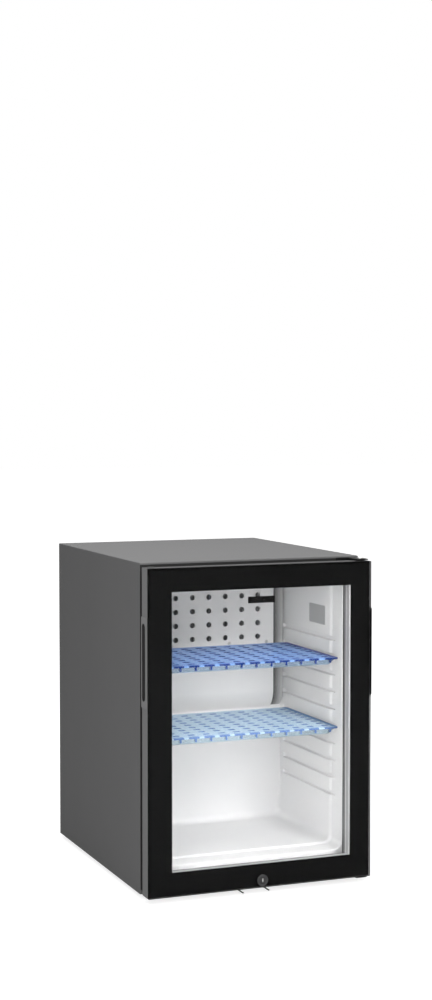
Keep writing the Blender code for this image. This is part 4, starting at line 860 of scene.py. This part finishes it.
hinge_x, hinge_y = 0.19, -0.233
pin_line = [(0, 0), (0.0024, 0), (0.003, 0.0006), (0.003, 0.0133), (0.005, 0.0133), (0.005, 0.0139),
            (0.0046, 0.0143), (0, 0.0143)]
bush_line = [(0.0032, -0.012), (0.0045, -0.012), (0.0047, -0.0115), (0.0047, 0.0003), (0.0067, 0.0003),
             (0.0067, 0.0010), (0.0064, 0.0013), (0.0032, 0.0013), (0.0032, -0.012)]
plug_line = [(0, -0.006), (0.0044, -0.006), (0.0047, -0.0056), (0.0047, 0.0003), (0.0067, 0.0003),
             (0.0066, 0.0007), (0.0058, 0.0011), (0.0030, 0.0013), (0, 0.0013)]
for node in ("upper_hinge_bracket", "lower_hinge_bracket"):
    low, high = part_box(node)
    bracket = put(node + "_angle", softened_copy(node, 0.0004, 3), black_paint, node)
    carve(bracket, [slab((low.x - 0.001, low.y - 0.001, low.z - 0.001),
                         (0.1790, high.y - 0.0035, high.z + 0.001), 0.003, axis=2)])
for node, upward in (("upper_hinge_pin", 1), ("lower_hinge_pin", -1)):
    low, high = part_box(node)
    foot = (hinge_x, hinge_y, low.z if upward > 0 else high.z)
    put(node + "_turned", turned(pin_line, foot, (0, 0, upward)), zinc, node)
for node in [f"{row}_{place}_hinge_screw" for row in ("upper", "lower") for place in ("inner", "outer")]:
    low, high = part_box(node)
    seat = Vector(((low.x + high.x) / 2, low.y + 0.0017, (low.z + high.z) / 2))
    fit_screw(node + "_pan", seat, (0, 1, 0), (0.0032, 0.0016, 0.0017, high.y - seat.y), node)
for row, door_edge, upward in (("upper", 0.554, 1), ("lower", 0.011, -1)):
    for name, line, x, node in (("bush", bush_line, hinge_x, "bush"),
                                ("plug", plug_line, -hinge_x, "blanking_plug")):
        put(f"{row}_{name}_turned", turned(line, (x, hinge_y, door_edge), (0, 0, upward)), black_plastic,
            f"{row}_{node}", "door")


# The lock. A die cast barrel passes through the door's lower border. The key turns its plug, behind
# whose keyway a shutter keeps out dust, and a steel cam screwed to its tail swings behind the strike.

lock_metal = finish("dark_nickel", (0.050, 0.050, 0.051), 0.26, grain=600, height=0.000003, mottle=0.25,
                    metallic=0.9)
outline = [(0.00575, 0.0004), (0.0062, 0.0), (0.0085, 0.0), (0.0094, 0.0003), (0.0099, 0.0008),
           (0.0102, 0.0016), (0.0102, 0.0037), (0.0080, 0.0037), (0.0080, 0.036), (0.00575, 0.036),
           (0.00575, 0.0004)]
put("lock_barrel_turned", turned(outline, (0, -0.2555, lock_z), (0, 1, 0), sides=64), lock_metal,
    "lock_barrel", "door")
plug_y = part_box("lock_plug")[0].y
outline = [(0, 0.0), (0.0048, 0.0), (0.0052, 0.0001), (0.00545, 0.0005), (0.00545, 0.0355),
           (0.0044, 0.0355), (0.0044, 0.0374), (0.0034, 0.0374), (0.0034, 0.0400), (0, 0.0400)]
plug = put("lock_plug_turned", turned(outline, (0, plug_y, lock_z), (0, 1, 0)), lock_metal,
           "lock_plug", "lock")
keyway = slab((-0.0008, plug_y - 0.001, lock_z - 0.0035), (0.0008, plug_y + 0.008, lock_z + 0.0035),
              0.0003, axis=1, segments=2)
ward = slab((-0.0014, plug_y - 0.001, lock_z - 0.0012), (0.0014, plug_y + 0.008, lock_z + 0.0002))
carve(plug, [keyway, ward])
shutter = slab((-0.0011, plug_y + 0.0006, lock_z - 0.0030), (0.0011, plug_y + 0.0012, lock_z + 0.0030),
               0.0004, axis=1)
put("lock_shutter", shutter, zinc, body="lock")
put("lock_cam_plate", softened_copy("lock_cam", 0.0002, 2), zinc, "lock_cam", "lock")
fit_screw("cam_fixing", Vector((0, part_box("cam_screw")[1].y - 0.0018, lock_z)), (0, -1, 0),
          (0.0041, 0.0018, 0.0013, 0.0022), "cam_screw", "lock")


# The strike. A black steel fork is screwed under the case's front edge. The lock's cam catches
# behind its turned up lip, and its two prongs show below the door.

put("strike_fork", softened_copy("strike_bracket", 0.0003, 2), black_paint, "strike_bracket")


# The cooling unit's rails. Two galvanised angles run across the open recess behind the back panel.
# The lower one carries the boiler and the tank, and the pipes pass through the upper one.

unit_y, riser_x, drop_x = 0.1558, 0.110, -0.100
for node in ("lower_unit_rail", "upper_unit_rail"):
    low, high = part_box(node)
    skin = bent_sheet([(low.y, high.z), (high.y, high.z), (high.y, low.z)], low.x, high.x, 0.002)
    rail = put(node + "_angle", face_towards(skin, (0, 0, 1)), galvanised, node)
    give_wall(rail, 0.001)
    holes = [rod((x, high.y - 0.004, high.z - 0.010), (x, high.y + 0.002, high.z - 0.010), 0.0022, sides=20)
             for x in (-0.185, -0.09, 0.0, 0.09, 0.185)]
    if node == "upper_unit_rail":
        holes += [rod((x, unit_y, high.z - 0.004), (x, unit_y, high.z + 0.002), 0.0078)
                  for x in (riser_x, drop_x)]
    carve(rail, [gather(holes)])


# The boiler casing. A folded sheet box stands on the lower rail, packed with mineral wool round the
# generator. A cap closes its top, and the electric heater cartridge slides in beside the riser.

boiler_low, boiler_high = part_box("boiler_casing")
put("boiler_jacket", slab(boiler_low, boiler_high, 0.012, axis=2, segments=8, soften=(0.0012, 3)), galvanised,
    "boiler_casing")
cap = slab((boiler_low.x - 0.0008, boiler_low.y + 0.0002, boiler_high.z - 0.014),
           boiler_high + Vector((0.0008, 0.0008, 0.0008)), 0.0125, axis=2, segments=8, soften=(0.0008, 3))
put("boiler_cap", cap, galvanised)
heater_low, heater_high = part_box("heater_cartridge")
heater_foot = ((heater_low.x + heater_high.x) / 2, unit_y, heater_low.z)
outline = [(0, 0), (0.006, 0), (0.006, 0.1085), (0.0052, 0.109), (0.0052, 0.1115), (0.0045, 0.112),
           (0, 0.112)]
put("heater_turned", turned(outline, heater_foot, (0, 0, 1)), zinc, "heater_cartridge")


# The pipework. Black enamelled steel tubes are bent and welded into one sealed circuit: the riser and
# condenser over the top, the return from the wall, the absorber's level passes and the tank.

def swept(corners, radius, bend, sides=24, steps=10):
    """A round tube along straight runs joined by round bends."""
    corners = [Vector(corner) for corner in corners]
    route = [corners[0]]
    for before, corner, after in zip(corners, corners[1:], corners[2:]):
        back, on = (before - corner).normalized(), (after - corner).normalized()
        half_turn = (math.pi - back.angle(on)) / 2
        centre = corner + (back + on).normalized() * bend / math.cos(half_turn)
        start = corner + back * bend * math.tan(half_turn) - centre
        axis = back.cross(on).normalized() * -1
        route += [centre + Matrix.Rotation(2 * half_turn * step / steps, 3, axis) @ start
                  for step in range(steps + 1)]
    route.append(corners[-1])
    bm = bmesh.new()
    heading = (route[1] - route[0]).normalized()
    bmesh.ops.create_circle(bm, cap_ends=False, segments=sides, radius=radius,
                            matrix=Matrix.Translation(route[0]) @ along(heading))
    edges = list(bm.edges)
    bmesh.ops.contextual_create(bm, geom=edges)
    for i in range(1, len(route)):
        onward = (route[min(i + 1, len(route) - 1)] - route[i - 1]).normalized()
        swing = heading.rotation_difference(onward).to_matrix().to_4x4()
        made = bmesh.ops.extrude_edge_only(bm, edges=edges)
        move = Matrix.Translation(route[i]) @ swing @ Matrix.Translation(-route[i - 1])
        bmesh.ops.transform(bm, matrix=move, verts=new_verts(made))
        edges = new_edges(made)
        heading = onward
    bmesh.ops.contextual_create(bm, geom=edges)
    bmesh.ops.recalc_face_normals(bm, faces=bm.faces)
    return bm


def weld(centre, axis, radius, thick=0.0013):
    """The bead where a tube is welded on."""
    outline = [(radius + thick * math.cos(turn), thick * math.sin(turn))
               for turn in (math.pi * 2 * step / 8 for step in range(9))]
    return turned(outline, centre, axis, sides=32)


pipe_enamel = finish("black_pipe_enamel", (0.02, 0.02, 0.021), 0.4, grain=500, height=0.00002, mottle=0.25)
wall_y, tank_top, return_x, first_pass_x = 0.0525, 0.1046, -0.060, -0.110
condenser_z, drop_z, return_z = 0.500, 0.428, 0.368
condenser_route = [(riser_x, unit_y, boiler_high.z + 0.0003), (riser_x, unit_y, condenser_z),
                   (drop_x, unit_y, condenser_z), (drop_x, unit_y, drop_z), (drop_x, wall_y, drop_z)]
return_route = [(return_x, wall_y, return_z), (return_x, unit_y, return_z), (return_x, unit_y, tank_top)]
coil_y = unit_y + 0.028
coil = [(first_pass_x, unit_y, tank_top), (first_pass_x, unit_y, 0.119), (first_pass_x, coil_y, 0.119)]
for step in range(4):
    z = 0.153 + step * 0.048
    ends = (0.040, first_pass_x) if step % 2 else (first_pass_x, 0.040)
    coil += [(ends[0], coil_y, z), (ends[1], coil_y, z)]
coil_top = coil[-1][2]
coil[-1] = (return_x, coil_y, coil_top)
coil.append((return_x, unit_y + 0.0093, coil_top))
for name, route, radius, bend, node in (
        ("condenser_pipe", condenser_route, 0.007, 0.021, "condenser_tube"),
        ("return_pipe", return_route, 0.009, 0.022, "return_tube"),
        ("absorber_pipe", coil, 0.006, 0.0135, "absorber_coil")):
    put(name, swept(route, radius, bend), pipe_enamel, node)
tank_low, tank_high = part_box("absorber_vessel")
tank_z = (tank_low.z + tank_high.z) / 2
end = [(0.03 * math.sin(turn), 0.0105 * (1 - math.cos(turn)))
       for turn in (math.pi / 2 * step / 8 for step in range(9))]
end += [(0.03, 0.0125), (0.0306, 0.0135), (0.0306, 0.0150), (0.03, 0.0160)]
length = tank_high.x - tank_low.x
outline = end + [(radius, length - place) for radius, place in reversed(end)]
put("absorber_tank", turned(outline, (tank_low.x, unit_y, tank_z), (1, 0, 0), sides=64), pipe_enamel,
    "absorber_vessel")
solution_low, solution_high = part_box("solution_tube")
put("solution_pipe", rod((solution_low.x, unit_y, tank_z), (solution_high.x, unit_y, tank_z), 0.005),
    pipe_enamel, "solution_tube")
on_tank = tank_top + 0.0006
put("pipe_welds", gather([weld((riser_x, unit_y, boiler_high.z + 0.0012), (0, 0, 1), 0.007),
                          weld((return_x, unit_y, on_tank), (0, 0, 1), 0.009),
                          weld((first_pass_x, unit_y, on_tank), (0, 0, 1), 0.006),
                          weld((return_x, unit_y + 0.0095, coil_top), (0, 1, 0), 0.006),
                          weld((solution_low.x + 0.0004, unit_y, tank_z), (1, 0, 0), 0.005)]),
    pipe_enamel)


# The condenser fins. Square aluminium plates are pressed onto the level run of the condenser pipe,
# each with a short collar that sets the distance to the next.

fin_low, fin_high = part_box("condenser_fins")
collar = [(0.0075, -0.0079), (0.0085, -0.0079), (0.0086, -0.001), (0.0105, 0.0), (0.0075, 0.0),
          (0.0075, -0.0079)]
fins = []
for x in (0.005 + (i - 4.5) * 0.016 for i in range(10)):
    fins += [slab((x - 0.0005, fin_low.y, fin_low.z), (x + 0.0005, fin_high.y, fin_high.z), 0.004, axis=0),
             turned(collar, (x, unit_y, condenser_z), (1, 0, 0), sides=32)]
# The fin pack shares the evaporator fins' darkened aluminium, whose dark grey is painted shade.
put("condenser_fin_pack", gather(fins), fin_metal_painted_shade, "condenser_fins")


# The drain. A black plastic tube leads the defrost water from the trough through the wall into an
# open white cup on the warm tank, where it evaporates.

drain_x, drain_z, cup_wall = -0.005, 0.2877, 0.0015
drain_route = [(drain_x, wall_y, drain_z), (drain_x, unit_y, drain_z),
               (drain_x, unit_y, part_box("drain_tube")[0].z)]
put("drain_hose", swept(drain_route, 0.004, 0.012, sides=20), black_plastic, "drain_tube")
cup_low, cup_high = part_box("condensate_cup")
cup = put("evaporating_cup", slab(cup_low, cup_high, 0.004, axis=2, segments=5), trough_plastic,
          "condensate_cup")
carve(cup, [slab(cup_low + Vector((cup_wall, cup_wall, cup_wall)),
                 cup_high + Vector((-cup_wall, -cup_wall, 0.003)), 0.003, axis=2, segments=5)])


# The control box. A black plastic housing screwed to the back panel holds the thermostat and the
# terminals. Its lid meets the body in a shadow line, and the gland below takes the mains cord.

control_low, control_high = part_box("control_box")
seam_y = control_high.y - 0.012
body = slab(control_low, (control_high.x, seam_y - 0.0004, control_high.z), 0.005, axis=1, segments=6,
            soften=(0.0006, 2))
put("control_body", body, black_plastic, "control_box")
core = slab((control_low.x + 0.0012, seam_y - 0.003, control_low.z + 0.0012),
            (control_high.x - 0.0012, seam_y + 0.003, control_high.z - 0.0012), 0.004, axis=1, segments=6)
lid = slab((control_low.x, seam_y, control_low.z), control_high, 0.005, axis=1, segments=6, soften=(0.001, 3))
put("control_lid", gather([core, lid]), black_plastic)
for number, z in enumerate((control_low.z + 0.010, control_high.z - 0.010)):
    seat = Vector(((control_low.x + control_high.x) / 2, control_high.y + 0.0001, z))
    fit_screw(f"control_screw_{number}", seat, (0, -1, 0), (0.0032, 0.0015, 0.0015, 0.006))
gland_low, gland_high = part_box("cable_gland")
outline = [(0.004, 0.0), (0.0062, 0.0), (0.0068, 0.0006), (0.0075, 0.0045), (0.0075, 0.0105),
           (0.009, 0.0105), (0.009, 0.0135), (0.0086, 0.014), (0.004, 0.014), (0.004, 0.0)]
gland_foot = ((gland_low.x + gland_high.x) / 2, (gland_low.y + gland_high.y) / 2, gland_low.z)
put("cord_gland", turned(outline, gland_foot, (0, 0, 1)), black_plastic, "cable_gland")


# The studio. A plain pale floor and backdrop, soft lamps in front, above and behind, and the camera
# at the photograph's angle. The floor takes a soft shadow near the object and is white further out.

LOOKING = "Camera", "Transmission", "Glossy"
floor_finish, tree, shader = new_material("pale_floor")
fill_in(shader, {"Base Color": (0.5, 0.5, 0.5, 1.0), "Roughness": 1.0, "Specular IOR Level": 0.0,
                 "Emission Color": (1.0, 1.0, 1.0, 1.0)})
place = tree.nodes.new("ShaderNodeTexCoord")
reach = tree.nodes.new("ShaderNodeVectorMath")
reach.operation = "LENGTH"
outward = tree.nodes.new("ShaderNodeMapRange")
fill_in(outward, {"From Min": 0.4, "From Max": 1.5, "To Min": 0.80, "To Max": 1.0})
tree.links.new(place.outputs["Object"], reach.inputs[0])
tree.links.new(reach.outputs["Value"], outward.inputs["Value"])
lifted = arithmetic(tree, "MULTIPLY", one_of_rays(tree, *LOOKING), outward.outputs["Result"])
tree.links.new(lifted, shader.inputs["Emission Strength"])

floor_bm = bmesh.new()
bmesh.ops.create_grid(floor_bm, x_segments=1, y_segments=1, size=20.0,
                      matrix=Matrix.Translation((0, 0, -0.0002)))
floor_mesh = bpy.data.meshes.new("studio_floor")
floor_bm.to_mesh(floor_mesh)
floor_bm.free()
floor_mesh.materials.append(floor_finish)
floor = bpy.data.objects.new("studio_floor", floor_mesh)
bpy.context.scene.collection.objects.link(floor)

world = bpy.data.worlds.new("studio")
bpy.context.scene.world = world
world.use_nodes = True
tree = world.node_tree
tree.nodes.clear()
shared = tree.nodes.new("ShaderNodeMixShader")
tree.links.new(one_of_rays(tree, *LOOKING), shared.inputs["Fac"])
for place, strength in ((1, 0.18), (2, 1.0)):
    sky = tree.nodes.new("ShaderNodeBackground")
    fill_in(sky, {"Color": (1, 1, 1, 1), "Strength": strength})
    tree.links.new(sky.outputs["Background"], shared.inputs[place])
tree.links.new(shared.outputs["Shader"], tree.nodes.new("ShaderNodeOutputWorld").inputs["Surface"])

for name, spot, size, power in (
        ("key", (-0.95, -1.3, 0.65), 0.6, 8), ("front", (0.45, -2.5, 1.75), 0.7, 33),
        ("top", (-0.3, -0.2, 2.4), 1.6, 34), ("rear", (1.0, 2.6, 1.9), 1.6, 11)):
    lamp = bpy.data.lights.new(name + "_lamp", "AREA")
    lamp.shape = "SQUARE"
    lamp.size = size
    lamp.energy = power
    holder = bpy.data.objects.new(name + "_lamp", lamp)
    holder.location = spot
    aim = Vector((0, 0, 0.28)) - Vector(spot)
    holder.rotation_euler = aim.to_track_quat("-Z", "Y").to_euler()
    bpy.context.scene.collection.objects.link(holder)

camera = bpy.data.cameras.new("photo_camera")
camera.sensor_width = 36.0
camera.lens = 63.21
viewer = bpy.data.objects.new("photo_camera", camera)
viewer.location = (-1.1516, -2.9223, 0.8116)
viewer.rotation_euler = (math.pi / 2 - 0.0514, 0.0, -0.3805)
bpy.context.scene.collection.objects.link(viewer)
bpy.context.scene.camera = viewer
bpy.context.scene.view_settings.view_transform = "Standard"
